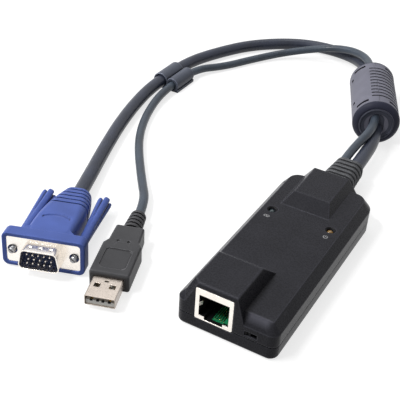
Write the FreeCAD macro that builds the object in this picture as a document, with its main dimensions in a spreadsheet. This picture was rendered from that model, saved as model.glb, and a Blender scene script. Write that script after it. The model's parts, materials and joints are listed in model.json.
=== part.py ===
import FreeCAD, Part
import math
import os
import Sketcher

# A server console adapter: a two-part moulded housing with a modular network socket at one end,
# and two cords at the other that run through a ferrite and a clip to a video plug and a USB plug.
# Millimetres. The origin is the middle of the housing's underside: +X is right as the socket
# faces the reader, -Y is the socket's face, +Y the cord end and +Z up.

V = FreeCAD.Vector
OUT = "parts"

SIZES = [
    ("housing_width", 41.0), ("housing_length", 98.4), ("parting_height", 6.1), ("deck_height", 15.3),
    ("wall", 1.8), ("floor_thickness", 1.8), ("front_corner_radius", 3.6), ("rear_corner_radius", 8.0),
    ("bevel_width", 3.2), ("bevel_height", 4.0), ("base_bevel", 0.9), ("seam_bevel", 0.25),
    ("inner_shoulder", 10.9), ("inner_bevel", 1.4),
    ("socket_hump_height", 22.3), ("socket_hump_left", 14.0), ("socket_hump_right", 4.2),
    ("socket_hump_length", 19.6), ("socket_hump_rear_run", 8.3), ("socket_hump_left_run", 3.4),
    ("socket_hump_right_run", 2.1), ("socket_hump_corner", 2.6),
    ("cable_hump_height", 19.4), ("cable_hump_centre", -1.05), ("cable_hump_half_width", 7.9),
    ("cable_hump_side_run", 3.0), ("cable_hump_length", 21.9), ("cable_hump_front_run", 6.2),
    ("cable_hump_root", 2.3), ("hump_edge_radius", 0.7),
    ("board_thickness", 1.6), ("board_height", 3.95), ("board_side_gap", 0.5), ("board_front_gap", 0.4),
    ("board_rear_gap", 2.9), ("board_corner_radius", 2.0),
    ("screw_across", 15.6), ("front_screw_inset", 10.7), ("rear_screw_inset", 11.2),
    ("column_radius", 2.3), ("collar_radius", 3.6), ("column_gap", 0.8), ("boss_radius", 2.7),
    ("screw_radius", 1.1), ("screw_head_radius", 1.9), ("screw_head_height", 1.4),
    ("screw_recess", 2.4), ("screw_length", 8.6), ("screw_clearance", 0.15), ("screw_bite", 0.02),
    ("jack_centre", -4.7), ("jack_width", 15.4), ("jack_height", 14.35), ("jack_depth", 20.0),
    ("jack_gap", 0.2), ("shield_thickness", 0.35), ("mouth_width", 12.2), ("mouth_bottom", 1.85),
    ("mouth_height", 9.5), ("notch_width", 7.6), ("notch_drop", 1.35), ("mouth_depth", 14.0),
    ("insert_gap", 0.05), ("contact_pitch", 1.02), ("contact_width", 0.45), ("contact_thickness", 0.35),
    ("window_left", 7.9), ("window_width", 5.0), ("window_bottom", 7.2), ("window_height", 2.0),
    ("knob_width", 2.2), ("knob_gap", 0.15), ("knob_travel", 2.2), ("knob_inset", 0.35),
    ("switch_width", 8.4), ("switch_depth", 4.0), ("switch_height", 4.2), ("switch_slot_depth", 2.6),
    ("led_across", 13.0), ("led_place", 15.2), ("led_radius", 1.5), ("led_gap", 0.15),
    ("led_flange_radius", 1.75), ("led_flange_height", 9.4), ("led_top", 14.9), ("led_leg", 0.5),
    ("led_dish_radius", 2.2), ("led_dish_depth", 0.5),
    ("boot_centre", -1.0), ("boot_height", 8.5), ("boot_width", 16.6), ("boot_thickness", 11.0),
    ("boot_length", 26.2), ("boot_end_width", 13.2), ("boot_end_thickness", 10.0), ("boot_rib_depth", 1.0),
    ("boot_rib_count", 8), ("boot_rib_share", 0.6), ("boot_neck_width", 12.6), ("boot_neck_thickness", 8.0),
    ("boot_neck_gap", 0.1), ("boot_collar_width", 14.0), ("boot_collar_thickness", 9.4),
    ("boot_collar_length", 1.6),
    ("video_cord_diameter", 6.6), ("usb_cord_diameter", 4.2), ("bore_gap", 0.15),
    ("plate_width", 31.0), ("plate_height", 12.9), ("plate_thickness", 0.9), ("plate_corner", 1.2),
    ("jackscrew_across", 12.5), ("jackscrew_radius", 1.42), ("jackscrew_gap", 0.08),
    ("jackscrew_tip", 1.6), ("plate_hole_radius", 2.0),
    ("dee_width", 17.2), ("dee_height", 8.9), ("dee_slant", 10.0), ("dee_corner", 2.1), ("dee_wall", 0.5),
    ("dee_length", 5.9), ("pin_pitch", 2.29), ("pin_row", 1.98), ("pin_radius", 0.39), ("pin_length", 4.6),
    ("insulator_face", 1.0), ("insulator_back", 4.0),
    ("hood_width", 33.6), ("hood_height", 15.2), ("hood_corner", 2.6), ("hood_front", 0.5),
    ("hood_lip", 0.55),
    ("hood_block", 5.0), ("hood_end", 45.0), ("hood_neck_width", 18.4), ("hood_neck_height", 13.2),
    ("relief_pitch", 3.2), ("relief_width", 0.85), ("relief_depth", 0.8), ("relief_count", 5),
    ("thumb_radius", 3.2), ("thumb_waist", 2.1), ("thumb_collar", 2.9), ("thumb_gap", 0.4),
    ("thumb_end", 44.0), ("thumb_flute", 1.5), ("thumb_flute_start", 20.0), ("thumb_flute_count", 4),
    ("jackscrew_root", 20.0),
    ("usb_width", 12.0), ("usb_height", 4.5), ("usb_depth", 11.75), ("usb_wall", 0.3), ("usb_root", 4.0),
    ("tongue_width", 11.1), ("tongue_height", 1.9), ("tongue_recess", 0.6),
    ("usb_contact_width", 1.0), ("usb_contact_thickness", 0.2), ("usb_contact_length", 7.5),
    ("mould_width", 16.0), ("mould_thickness", 8.4), ("mould_shoulder", 31.0), ("mould_neck_width", 12.0),
    ("mould_end", 43.5), ("mould_boot_end", 56.0), ("mould_boot_radius", 4.2), ("mould_boot_tip", 3.4),
    ("mould_edge", 0.7), ("label_width", 10.6), ("label_length", 12.0), ("label_depth", 0.35),
    ("ferrite_radius", 11.7), ("ferrite_length", 49.4), ("ferrite_wall", 1.9), ("ferrite_way_radius", 3.8),
    ("ferrite_lip_length", 2.2), ("ferrite_bore_radius", 5.9), ("ferrite_bevel", 2.4), ("ferrite_seam", 0.12),
    ("ferrite_rib_count", 10), ("ferrite_rib_pitch", 3.5), ("ferrite_groove", 1.0),
    ("ferrite_groove_depth", 0.65), ("ferrite_groove_reach", 3.5),
    ("ferrite_core_gap", 0.05), ("ferrite_slot_angle", 44.0),
    ("clip_length", 17.6), ("clip_wall", 0.75), ("clip_small_wall", 1.4),
    ("clip_bore_gap", 0.35), ("clip_foot", 1.6),
]

# Where the plugs, the ferrite and the clip lie: x, y, z of their front, then yaw and pitch in degrees.
PLACES = {
    "video": (-78.6, -52.9, 8.15, 19.5, -4.0),
    "usb": (-46.4, -60.5, 4.4, 18.5, 0.0),
    "ferrite": (-3.4, 115.2, 11.8, 22.9, 0.0),
    "clip": (-124.2, 105.3, 4.5, 0.0, 0.0),
}

# The cords' routes, chosen by hand, from the housing to the plug.
VIDEO_ROUTE = [
    (1.3, 60.0, 8.5), (1.3, 84.0, 8.6), (-0.3, 107.8, 9.4), (-13.0, 138.0, 9.6), (-25.9, 168.0, 9.2),
    (-33.5, 184.0, 7.4), (-45.0, 196.5, 5.2), (-61.0, 202.6, 3.7), (-78.0, 200.6, 3.5),
    (-93.0, 191.6, 3.5), (-107.0, 177.0, 3.5), (-117.0, 157.5, 3.5), (-123.8, 134.0, 4.4),
    (-124.3, 98.0, 4.5), (-121.8, 77.0, 3.6), (-116.5, 55.0, 3.5), (-109.0, 31.5, 3.5),
    (-99.7, 5.6, 3.9), (-91.6, -16.2, 5.4),
]
USB_ROUTE = [
    (-4.3, 60.0, 8.7), (-5.4, 84.0, 11.0), (-1.0, 107.6, 15.2), (-13.0, 138.0, 15.2),
    (-26.0, 168.4, 14.8), (-34.0, 183.0, 13.6), (-45.5, 192.0, 11.6), (-59.0, 194.4, 8.8),
    (-73.0, 189.4, 5.6), (-86.0, 180.0, 3.2), (-97.0, 164.0, 2.3), (-106.0, 146.0, 2.3),
    (-116.7, 129.5, 3.85), (-116.9, 97.5, 3.85), (-113.8, 79.0, 2.6), (-107.0, 60.0, 2.3),
    (-97.4, 42.6, 2.3), (-79.6, 18.6, 2.4), (-68.0, 4.0, 3.7), (-62.3, -13.1, 4.4),
]

doc = FreeCAD.newDocument("console_adapter")
sheet = doc.addObject("Spreadsheet::Sheet", "sizes")
for row, (alias, number) in enumerate(SIZES, 1):
    sheet.set("A%d" % row, alias)
    sheet.set("B%d" % row, str(number))
    sheet.setAlias("B%d" % row, alias)
doc.recompute()

nodes = []


def size(alias):
    return float(sheet.get(alias))


def fraction(a, b, share):
    return a + (b - a) * share


# Sketch and feature helpers

def new_body(label):
    body = doc.addObject("PartDesign::Body", label + "_body")
    body.Label = label
    nodes.append(body)
    return body


def new_sketch(body, name, role, offset=None):
    sketch = body.newObject("Sketcher::SketchObject", name)
    plane = [f for f in body.Origin.OriginFeatures if f.Role == role][0]
    sketch.AttachmentSupport = [(plane, "")]
    sketch.MapMode = "FlatFace"
    if offset:
        sketch.setExpression("AttachmentOffset.Base.z", offset)
    return sketch


def tie(sketch, kind, refs, start, expression):
    index = sketch.addConstraint(Sketcher.Constraint(kind, *refs, start))
    sketch.setExpression("Constraints[%d]" % index, expression)


def rectangle(sketch, left, right, low, high):
    """A rectangle whose four sides are tied to expressions, measured from the sketch's origin."""
    first = sketch.GeometryCount
    corners = [V(-1, -1, 0), V(1, -1, 0), V(1, 1, 0), V(-1, 1, 0)]
    for i in range(4):
        sketch.addGeometry(Part.LineSegment(corners[i], corners[(i + 1) % 4]), False)
    for i in range(4):
        sketch.addConstraint(Sketcher.Constraint("Coincident", first + i, 2, first + (i + 1) % 4, 1))
        sketch.addConstraint(Sketcher.Constraint("Vertical" if i % 2 else "Horizontal", first + i))
    tie(sketch, "DistanceX", (-1, 1, first, 1), -1.0, left)
    tie(sketch, "DistanceX", (-1, 1, first + 1, 1), 1.0, right)
    tie(sketch, "DistanceY", (-1, 1, first, 1), -1.0, low)
    tie(sketch, "DistanceY", (-1, 1, first + 2, 1), 1.0, high)


def circle(sketch, x, y, radius):
    first = sketch.GeometryCount
    sketch.addGeometry(Part.Circle(V(1, 1, 0), V(0, 0, 1), 1.0), False)
    tie(sketch, "DistanceX", (-1, 1, first, 3), 1.0, x)
    tie(sketch, "DistanceY", (-1, 1, first, 3), 1.0, y)
    tie(sketch, "Radius", (first,), 1.0, radius)


def pad(body, sketch, name, length, down=False):
    feature = body.newObject("PartDesign::Pad", name)
    feature.Profile = sketch
    feature.Reversed = down
    feature.setExpression("Length", length)
    doc.recompute()
    return feature


def pocket(body, sketch, name, depth, up=False):
    """Cuts the sketch's outline against its normal, or along it with up, and checks that it cut."""
    before = body.Shape.Volume
    feature = body.newObject("PartDesign::Pocket", name)
    feature.Profile = sketch
    feature.Reversed = up
    feature.setExpression("Length", depth)
    doc.recompute()
    if body.Shape.Volume > before - 1e-6:
        raise RuntimeError(name + " cut nothing")
    return feature


def edge_names(shape, test):
    return ["Edge%d" % (i + 1) for i, edge in enumerate(shape.Edges) if test(edge)]


def round_edges(body, base, name, radius, test):
    feature = body.newObject("PartDesign::Fillet", name)
    feature.Base = (base, edge_names(base.Shape, test))
    feature.setExpression("Radius", radius)
    doc.recompute()
    return feature


def bevel_edges(body, base, name, length, test):
    feature = body.newObject("PartDesign::Chamfer", name)
    feature.Base = (base, edge_names(base.Shape, test))
    feature.setExpression("Size", length)
    doc.recompute()
    return feature


def upright(edge):
    return abs(edge.tangentAt(edge.FirstParameter).z) > 0.99


def level_at(height):
    return lambda edge: abs(edge.BoundBox.ZMin - height) < 0.01 and abs(edge.BoundBox.ZMax - height) < 0.01


def loft(body, name, sections, cut=False):
    kind = "PartDesign::SubtractiveLoft" if cut else "PartDesign::AdditiveLoft"
    feature = body.newObject(kind, name)
    feature.Profile = sections[0]
    feature.Sections = sections[1:]
    feature.Ruled = True
    doc.recompute()
    return feature


def cell_box(name, place, extent):
    """A box whose corner and extents are expressions."""
    block = doc.addObject("Part::Box", name)
    for path, text in zip(("Placement.Base.x", "Placement.Base.y", "Placement.Base.z"), place):
        block.setExpression(path, text)
    for path, text in zip(("Length", "Width", "Height"), extent):
        block.setExpression(path, text)
    return block


def as_node(feature, label):
    feature.Label = label
    nodes.append(feature)
    return feature


def shaped(label, shape, place=None):
    feature = doc.addObject("Part::Feature", label + "_shape")
    feature.Shape = shape
    if place:
        feature.Placement = lie(place)
    return as_node(feature, label)


def lie(name):
    """The placement of a plug, the ferrite or the clip: its nose along its own -Y, pitched, then yawed."""
    x, y, z, yaw, pitch = PLACES[name]
    turn = FreeCAD.Rotation(V(0, 0, 1), yaw).multiply(FreeCAD.Rotation(V(1, 0, 0), pitch))
    return FreeCAD.Placement(V(x, y, z), turn)


# Shape helpers for the forms that are lofted, turned or bent

def oval(width, height, y, x=0.0, z=0.0, share=1.0):
    """A rounded outline across Y whose corner radius is a share of half the smaller side."""
    radius = min(width, height) / 2 * share * 0.999
    half_w = width / 2 - radius
    half_h = height / 2 - radius
    edges = []
    centres = [(half_w, half_h, 0), (-half_w, half_h, 90), (-half_w, -half_h, 180), (half_w, -half_h, 270)]
    ends = []
    for cx, cz, start in centres:
        points = [V(x + cx + radius * math.cos(math.radians(start + a)), y,
                    z + cz + radius * math.sin(math.radians(start + a))) for a in (0, 45, 90)]
        ends.append((points[0], points[2]))
        edges.append(Part.Arc(*points).toShape())
    for i in range(4):
        edges.append(Part.makeLine(ends[i][1], ends[(i + 1) % 4][0]))
    return Part.Wire(Part.__sortEdges__(edges))


def rod(radius, start, end, x=0.0, z=0.0):
    return Part.makeCylinder(radius, end - start, V(x, start, z), V(0, 1, 0))


def slab(start, end, reach=60.0):
    return Part.makeBox(2 * reach, end - start, 2 * reach, V(-reach, start, -reach))


def block(x0, x1, y0, y1, z0, z1):
    return Part.makeBox(x1 - x0, y1 - y0, z1 - z0, V(x0, y0, z0))


# The housing

HALF_L = "sizes.housing_length / 2"
HALF_W = "sizes.housing_width / 2"


def polygon(sketch, corners):
    """A closed outline with each corner tied to a pair of expressions."""
    first = sketch.GeometryCount
    count = len(corners)
    turn = 2 * math.pi / count
    around = [V(math.cos(turn * i), math.sin(turn * i), 0) for i in range(count)]
    for i in range(count):
        sketch.addGeometry(Part.LineSegment(around[i], around[(i + 1) % count]), False)
    for i in range(count):
        sketch.addConstraint(Sketcher.Constraint("Coincident", first + i, 2, first + (i + 1) % count, 1))
    for i, (x, y) in enumerate(corners):
        tie(sketch, "DistanceX", (-1, 1, first + i, 1), 1.0, x)
        tie(sketch, "DistanceY", (-1, 1, first + i, 1), 1.0, y)


def housing_outline(sketch, inset, inset_text):
    """The housing's plan: small corners at the socket end and large ones at the cord end."""
    half = size("housing_width") / 2 - inset
    rear = size("housing_length") / 2 - inset
    small = size("front_corner_radius") - inset
    large = size("rear_corner_radius") - inset
    corners = [(half, -rear, small, -90), (half, rear, large, 0),
               (-half, rear, large, 90), (-half, -rear, small, 180)]
    arcs = []
    for x, y, radius, start in corners:
        centre = V(x - math.copysign(radius, x), y - math.copysign(radius, y), 0)
        circle = Part.Circle(centre, V(0, 0, 1), radius)
        arc = Part.ArcOfCircle(circle, math.radians(start), math.radians(start + 90))
        arcs.append(arc)
    for i, arc in enumerate(arcs):
        sketch.addGeometry(Part.LineSegment(arcs[i - 1].EndPoint, arc.StartPoint), False)
        sketch.addGeometry(arc, False)
    for i in range(8):
        sketch.addConstraint(Sketcher.Constraint("Tangent", i, 2, (i + 1) % 8, 1))
    for i in range(4):
        sketch.addConstraint(Sketcher.Constraint("Vertical" if i % 2 else "Horizontal", 2 * i))
    sketch.addConstraint(Sketcher.Constraint("Equal", 1, 7))
    sketch.addConstraint(Sketcher.Constraint("Equal", 3, 5))
    tie(sketch, "Radius", (1,), small, "sizes.front_corner_radius - " + inset_text)
    tie(sketch, "Radius", (3,), large, "sizes.rear_corner_radius - " + inset_text)
    tie(sketch, "DistanceX", (-1, 1, 2, 1), half, HALF_W + " - " + inset_text)
    tie(sketch, "DistanceX", (-1, 1, 6, 1), -half, "-" + HALF_W + " + " + inset_text)
    tie(sketch, "DistanceY", (-1, 1, 0, 1), -rear, "-" + HALF_L + " + " + inset_text)
    tie(sketch, "DistanceY", (-1, 1, 4, 1), rear, HALF_L + " - " + inset_text)


def screw_centres():
    front = "-sizes.housing_length / 2 + sizes.front_screw_inset"
    rear = "sizes.housing_length / 2 - sizes.rear_screw_inset"
    return [(side + "sizes.screw_across", place) for place in (front, rear) for side in ("-", "")]


def circles_at_screws(sketch, radius):
    for x, y in screw_centres():
        circle(sketch, x, y, radius)


def socket_hump(body):
    """The tapered hump over the socket: flush in front, with a long slope behind."""
    rise = "(sizes.socket_hump_height - sizes.deck_height)"
    spread = "(sizes.socket_hump_height - sizes.deck_height + sizes.bevel_height) / " + rise

    def outline(sketch, share):
        left = "-sizes.socket_hump_left - sizes.socket_hump_left_run * " + share
        right = "sizes.socket_hump_right + sizes.socket_hump_right_run * " + share
        front = "-sizes.housing_length / 2"
        rear = front + " + sizes.socket_hump_length + sizes.socket_hump_rear_run * " + share
        corner = "sizes.socket_hump_corner"
        polygon(sketch, [(left + " + " + corner, front), (right, front), (right, rear), (left, rear),
                         (left, front + " + " + corner)])
    low = new_sketch(body, "socket_hump_foot", "XY_Plane", "sizes.deck_height - sizes.bevel_height")
    outline(low, "(" + spread + ")")
    high = new_sketch(body, "socket_hump_top", "XY_Plane", "sizes.socket_hump_height")
    outline(high, "0")
    return loft(body, "socket_hump", [low, high])


def cable_hump(body):
    """The lower hump over the cords, sloped in front and at its sides."""
    rise = "(sizes.cable_hump_height - sizes.deck_height)"
    spread = "(sizes.cable_hump_height - sizes.deck_height + sizes.cable_hump_root) / " + rise

    def outline(sketch, share):
        half = "(sizes.cable_hump_half_width + sizes.cable_hump_side_run * " + share + ")"
        centre = "sizes.cable_hump_centre"
        rear = "sizes.housing_length / 2"
        front = rear + " - sizes.cable_hump_length - sizes.cable_hump_front_run * " + share
        rectangle(sketch, centre + " - " + half, centre + " + " + half, front, rear)
    low = new_sketch(body, "cable_hump_foot", "XY_Plane", "sizes.deck_height - sizes.cable_hump_root")
    outline(low, "(" + spread + ")")
    high = new_sketch(body, "cable_hump_top", "XY_Plane", "sizes.cable_hump_height")
    outline(high, "0")
    return loft(body, "cable_hump", [low, high])


def cavity_sides(extra):
    inner_w = "sizes.housing_width / 2 - sizes.wall" + extra
    inner_l = "sizes.housing_length / 2 - sizes.wall" + extra
    return "-(" + inner_w + ")", inner_w, "-(" + inner_l + ")", inner_l


def jack_opening(body, low):
    """The bay for the socket, cut in from the front face."""
    sketch = new_sketch(body, "jack_outline", "XZ_Plane", HALF_L)
    half = "(sizes.jack_width / 2 + sizes.jack_gap)"
    top = "sizes.board_height + sizes.board_thickness + sizes.jack_height + sizes.jack_gap"
    rectangle(sketch, "sizes.jack_centre - " + half, "sizes.jack_centre + " + half, low, top)
    return pocket(body, sketch, "jack_bay", "sizes.jack_depth + sizes.jack_gap")


def boot_opening(body):
    """The oval way through the rear wall for the strain relief's neck."""
    sketch = new_sketch(body, "boot_outline", "XZ_Plane", "-sizes.housing_length / 2")
    centre = V(size("boot_centre"), size("boot_height"), 0)
    radius = size("boot_neck_thickness") / 2 + size("boot_neck_gap")
    half = (size("boot_neck_width") - size("boot_neck_thickness")) / 2
    right = Part.ArcOfCircle(Part.Circle(centre + V(half, 0, 0), V(0, 0, 1), radius), -math.pi / 2, math.pi / 2)
    left = Part.ArcOfCircle(Part.Circle(centre - V(half, 0, 0), V(0, 0, 1), radius), math.pi / 2, 3 * math.pi / 2)
    sketch.addGeometry([right, Part.LineSegment(right.EndPoint, left.StartPoint), left,
                        Part.LineSegment(left.EndPoint, right.StartPoint)], False)
    for i in range(4):
        sketch.addConstraint(Sketcher.Constraint("Tangent", i, 2, (i + 1) % 4, 1))
    sketch.addConstraint(Sketcher.Constraint("Horizontal", 1))
    half_text = "(sizes.boot_neck_width - sizes.boot_neck_thickness) / 2"
    tie(sketch, "Radius", (0,), radius, "sizes.boot_neck_thickness / 2 + sizes.boot_neck_gap")
    tie(sketch, "DistanceX", (-1, 1, 0, 3), centre.x + half, "sizes.boot_centre + " + half_text)
    tie(sketch, "DistanceX", (-1, 1, 2, 3), centre.x - half, "sizes.boot_centre - " + half_text)
    tie(sketch, "DistanceY", (-1, 1, 0, 3), centre.y, "sizes.boot_height")
    return pocket(body, sketch, "boot_way", "sizes.wall * 1.5", up=True)


def upper_shell():
    body = new_body("upper_shell")
    outline = new_sketch(body, "upper_outline", "XY_Plane", "sizes.parting_height")
    housing_outline(outline, 0.0, "0")
    pad(body, outline, "upper_walls", "sizes.deck_height - sizes.bevel_height - sizes.parting_height")
    eaves = new_sketch(body, "eaves_outline", "XY_Plane", "sizes.deck_height - sizes.bevel_height")
    housing_outline(eaves, 0.0, "0")
    deck = new_sketch(body, "deck_outline", "XY_Plane", "sizes.deck_height")
    housing_outline(deck, size("bevel_width"), "sizes.bevel_width")
    loft(body, "deck_bevel", [eaves, deck])
    socket_hump(body)
    humps = cable_hump(body)
    heights = (size("socket_hump_height"), size("cable_hump_height"))
    round_edges(body, humps, "hump_edges", "sizes.hump_edge_radius",
                lambda edge: any(level_at(height)(edge) for height in heights))
    lower = new_sketch(body, "cavity_outline", "XY_Plane", "sizes.parting_height")
    rectangle(lower, *cavity_sides(""))
    pocket(body, lower, "cavity", "sizes.inner_shoulder - sizes.parting_height", up=True)
    upper = new_sketch(body, "roof_outline", "XY_Plane", "sizes.inner_shoulder")
    rectangle(upper, *cavity_sides(" - sizes.bevel_width + sizes.wall - sizes.inner_bevel"))
    pocket(body, upper, "roof", "sizes.deck_height - sizes.wall - sizes.inner_shoulder", up=True)
    collar = new_sketch(body, "collar_room_outline", "XY_Plane", "sizes.parting_height")
    half = "(sizes.boot_collar_width / 2 + sizes.bore_gap)"
    rear = "sizes.housing_length / 2 - sizes.wall"
    rectangle(collar, "sizes.boot_centre - " + half, "sizes.boot_centre + " + half,
              rear + " - sizes.boot_collar_length - 2 * sizes.wall", rear)
    pocket(body, collar, "collar_room",
           "sizes.boot_height + sizes.boot_collar_thickness / 2 + sizes.bore_gap - sizes.parting_height", up=True)
    bosses = new_sketch(body, "boss_outlines", "XY_Plane", "sizes.parting_height")
    circles_at_screws(bosses, "sizes.boss_radius")
    pad(body, bosses, "bosses", "sizes.deck_height - sizes.wall / 2 - sizes.parting_height")
    pilots = new_sketch(body, "pilot_outlines", "XY_Plane", "sizes.parting_height")
    circles_at_screws(pilots, "sizes.screw_radius + sizes.screw_bite")
    pocket(body, pilots, "pilots", "sizes.deck_height - 2 * sizes.wall - sizes.parting_height", up=True)
    jack_opening(body, "0")
    boot_opening(body)
    window = new_sketch(body, "window_outline", "XZ_Plane", HALF_L)
    rectangle(window, "sizes.window_left", "sizes.window_left + sizes.window_width",
              "sizes.window_bottom", "sizes.window_bottom + sizes.window_height")
    pocket(body, window, "switch_window", "sizes.wall * 1.2")
    for name, radius, depth in (("led_dishes", "sizes.led_dish_radius", "sizes.led_dish_depth"),
                                ("led_holes", "sizes.led_radius + sizes.led_gap", "sizes.wall * 1.2")):
        sketch = new_sketch(body, name + "_outline", "XY_Plane", "sizes.deck_height")
        circle(sketch, "-sizes.led_across", "sizes.led_place", radius)
        circle(sketch, "sizes.led_across", "sizes.led_place", radius)
        last = pocket(body, sketch, name, depth)
    return last


def lower_shell():
    body = new_body("lower_shell")
    outline = new_sketch(body, "lower_outline", "XY_Plane")
    housing_outline(outline, 0.0, "0")
    tray = pad(body, outline, "lower_walls", "sizes.parting_height")
    base = bevel_edges(body, tray, "base_edge", "sizes.base_bevel", level_at(0.0))
    bevel_edges(body, base, "seam", "sizes.seam_bevel", level_at(size("parting_height")))
    inside = new_sketch(body, "tray_outline", "XY_Plane", "sizes.parting_height")
    rectangle(inside, *cavity_sides(""))
    pocket(body, inside, "tray", "sizes.parting_height - sizes.floor_thickness")
    collars = new_sketch(body, "collar_outlines", "XY_Plane", "sizes.floor_thickness")
    circles_at_screws(collars, "sizes.collar_radius")
    pad(body, collars, "collars", "sizes.board_height - sizes.floor_thickness")
    columns = new_sketch(body, "column_outlines", "XY_Plane", "sizes.board_height")
    circles_at_screws(columns, "sizes.column_radius")
    pad(body, columns, "columns", "sizes.parting_height - sizes.board_height")
    recesses = new_sketch(body, "recess_outlines", "XY_Plane")
    circles_at_screws(recesses, "sizes.screw_head_radius + sizes.screw_clearance")
    pocket(body, recesses, "screw_recesses", "sizes.screw_recess", up=True)
    ways = new_sketch(body, "way_outlines", "XY_Plane")
    circles_at_screws(ways, "sizes.screw_radius + sizes.screw_clearance")
    pocket(body, ways, "screw_ways", "sizes.parting_height + 1", up=True)
    jack_opening(body, "sizes.board_height + sizes.board_thickness - sizes.jack_gap / 2")
    boot_opening(body)


def housing_screws():
    """Four self-tapping screws driven from below, as separate solids of one node."""
    solids = []
    for x, y in [(sx * size("screw_across"), y) for y in
                 (-size("housing_length") / 2 + size("front_screw_inset"),
                  size("housing_length") / 2 - size("rear_screw_inset")) for sx in (-1, 1)]:
        top = size("screw_recess")
        head = Part.makeCylinder(size("screw_head_radius"), size("screw_head_height"),
                                 V(x, y, top - size("screw_head_height")))
        shank = Part.makeCylinder(size("screw_radius"), size("screw_length"), V(x, y, top))
        arm = size("screw_head_radius") * 0.6
        cross = [Part.makeBox(2 * a, 2 * b, size("screw_head_height") * 0.5,
                              V(x - a, y - b, top - size("screw_head_height"))) for a, b in
                 ((arm, arm / 4), (arm / 4, arm))]
        solids.append(head.fuse(shank).cut(cross[0]).cut(cross[1]).removeSplitter())
    return shaped("housing_screws", Part.makeCompound(solids))


# The board and what stands on it

def main_board():
    body = new_body("main_board")
    outline = new_sketch(body, "board_outline", "XY_Plane", "sizes.board_height")
    side = "sizes.housing_width / 2 - sizes.wall - sizes.board_side_gap"
    rectangle(outline, "-(" + side + ")", side,
              "-sizes.housing_length / 2 + sizes.wall + sizes.board_front_gap",
              "sizes.housing_length / 2 - sizes.wall - sizes.board_rear_gap")
    plate = pad(body, outline, "board", "sizes.board_thickness")
    round_edges(body, plate, "board_corners", "sizes.board_corner_radius", upright)
    holes = new_sketch(body, "board_holes", "XY_Plane", "sizes.board_height")
    circles_at_screws(holes, "sizes.column_radius + sizes.column_gap")
    pocket(body, holes, "mounting_holes", "sizes.board_thickness", up=True)


def board_part(label, x, y, width, length, height):
    """A package that stands on the board, with its middle at the expressions x, y."""
    box = cell_box(label + "_box", (x + " - %g" % (width / 2), y + " - %g" % (length / 2),
                                    "sizes.board_height + sizes.board_thickness"),
                   (str(width), str(length), str(height)))
    doc.recompute()
    edge = doc.addObject("Part::Chamfer", label + "_edge")
    edge.Base = box
    top = box.Shape.BoundBox.ZMax
    edge.Edges = [(i + 1, 0.2, 0.2) for i, e in enumerate(box.Shape.Edges) if e.BoundBox.ZMin > top - 0.01]
    return as_node(edge, label)


def board_parts():
    board_part("video_chip", "-3", "8", 14.0, 14.0, 1.5)
    board_part("controller_chip", "5.5", "-11", 10.0, 10.0, 1.4)
    board_part("network_transformer", "sizes.jack_centre - 2.8",
               "sizes.jack_depth - sizes.housing_length / 2 + 9.2", 12.7, 9.5, 5.4)
    board_part("clock_crystal", "sizes.housing_width / 2 - 7.3", "-1", 4.7, 11.4, 3.5)
    board_part("cable_header", "sizes.boot_centre", "sizes.housing_length / 2 - 11.2", 20.0, 5.0, 5.8)


# The network socket

def jack_frame():
    """Corner and extents of the socket: left, right, front, back, bottom, top."""
    left = size("jack_centre") - size("jack_width") / 2
    front = -size("housing_length") / 2
    low = size("board_height") + size("board_thickness")
    return left, left + size("jack_width"), front, front + size("jack_depth"), low, low + size("jack_height")


def jack_mouth(depth, grow=0.0):
    """The plug's way in: the main opening and the latch's notch under it."""
    front = -size("housing_length") / 2
    centre = size("jack_centre")
    low = size("board_height") + size("board_thickness") + size("mouth_bottom")
    half = size("mouth_width") / 2 + grow
    main = block(centre - half, centre + half, front - 1, front + depth, low - grow,
                 low + size("mouth_height") + grow)
    half = size("notch_width") / 2 + grow
    notch = block(centre - half, centre + half, front - 1, front + depth, low - size("notch_drop") - grow,
                  low + 1)
    return main.fuse(notch).removeSplitter()


def socket_shield():
    left, right, front, back, low, high = jack_frame()
    t = size("shield_thickness")
    can = block(left, right, front, back, low, high)
    can = can.makeFillet(0.6, [e for e in can.Edges if abs(e.tangentAt(0).y) > 0.99])
    can = can.cut(block(left + t, right - t, front + t, back - t, low + t, high - t))
    can = can.cut(jack_mouth(2 * t))
    centre = size("jack_centre")
    half = size("mouth_width") / 2
    middle = (low + high) / 2 - 0.6
    for side in (-1, 1):
        spring = Part.makePolygon([V(centre + side * (half + 0.5), front + 0.02, middle - 0.9),
                                   V(centre + side * (half - 0.7), front + 1.9, middle - 0.9),
                                   V(centre + side * (half + 0.5), front + 3.6, middle - 0.9),
                                   V(centre + side * (half + 0.5), front + 0.02, middle - 0.9)])
        bump = Part.Face(spring).extrude(V(0, 0, 1.8))
        can = can.fuse(bump)
    return shaped("socket_shield", can.removeSplitter())


def socket_insert():
    left, right, front, back, low, high = jack_frame()
    t = size("shield_thickness") + size("insert_gap")
    core = block(left + t, right - t, front + t, back - t, low + t, high - t)
    core = core.cut(jack_mouth(size("mouth_depth")))
    centre = size("jack_centre")
    half = size("mouth_width") / 2
    middle = (low + high) / 2 - 0.6
    for side in (-1, 1):
        room = block(min(centre + side * (half - 0.1), centre + side * (half + 0.6)),
                     max(centre + side * (half - 0.1), centre + side * (half + 0.6)),
                     front, front + 3.7, middle - 1.0, middle + 1.0)
        core = core.cut(room)
    for i in range(8):
        x = centre + (i - 3.5) * size("contact_pitch")
        half_slot = size("contact_width") / 2 + 0.03
        roof = low + size("mouth_bottom") + size("mouth_height")
        core = core.cut(block(x - half_slot, x + half_slot, front + 2.6, front + size("mouth_depth") - 1.0,
                              roof - 0.01, roof + size("contact_thickness") + 0.02))
    return shaped("socket_insert", core.removeSplitter())


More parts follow.
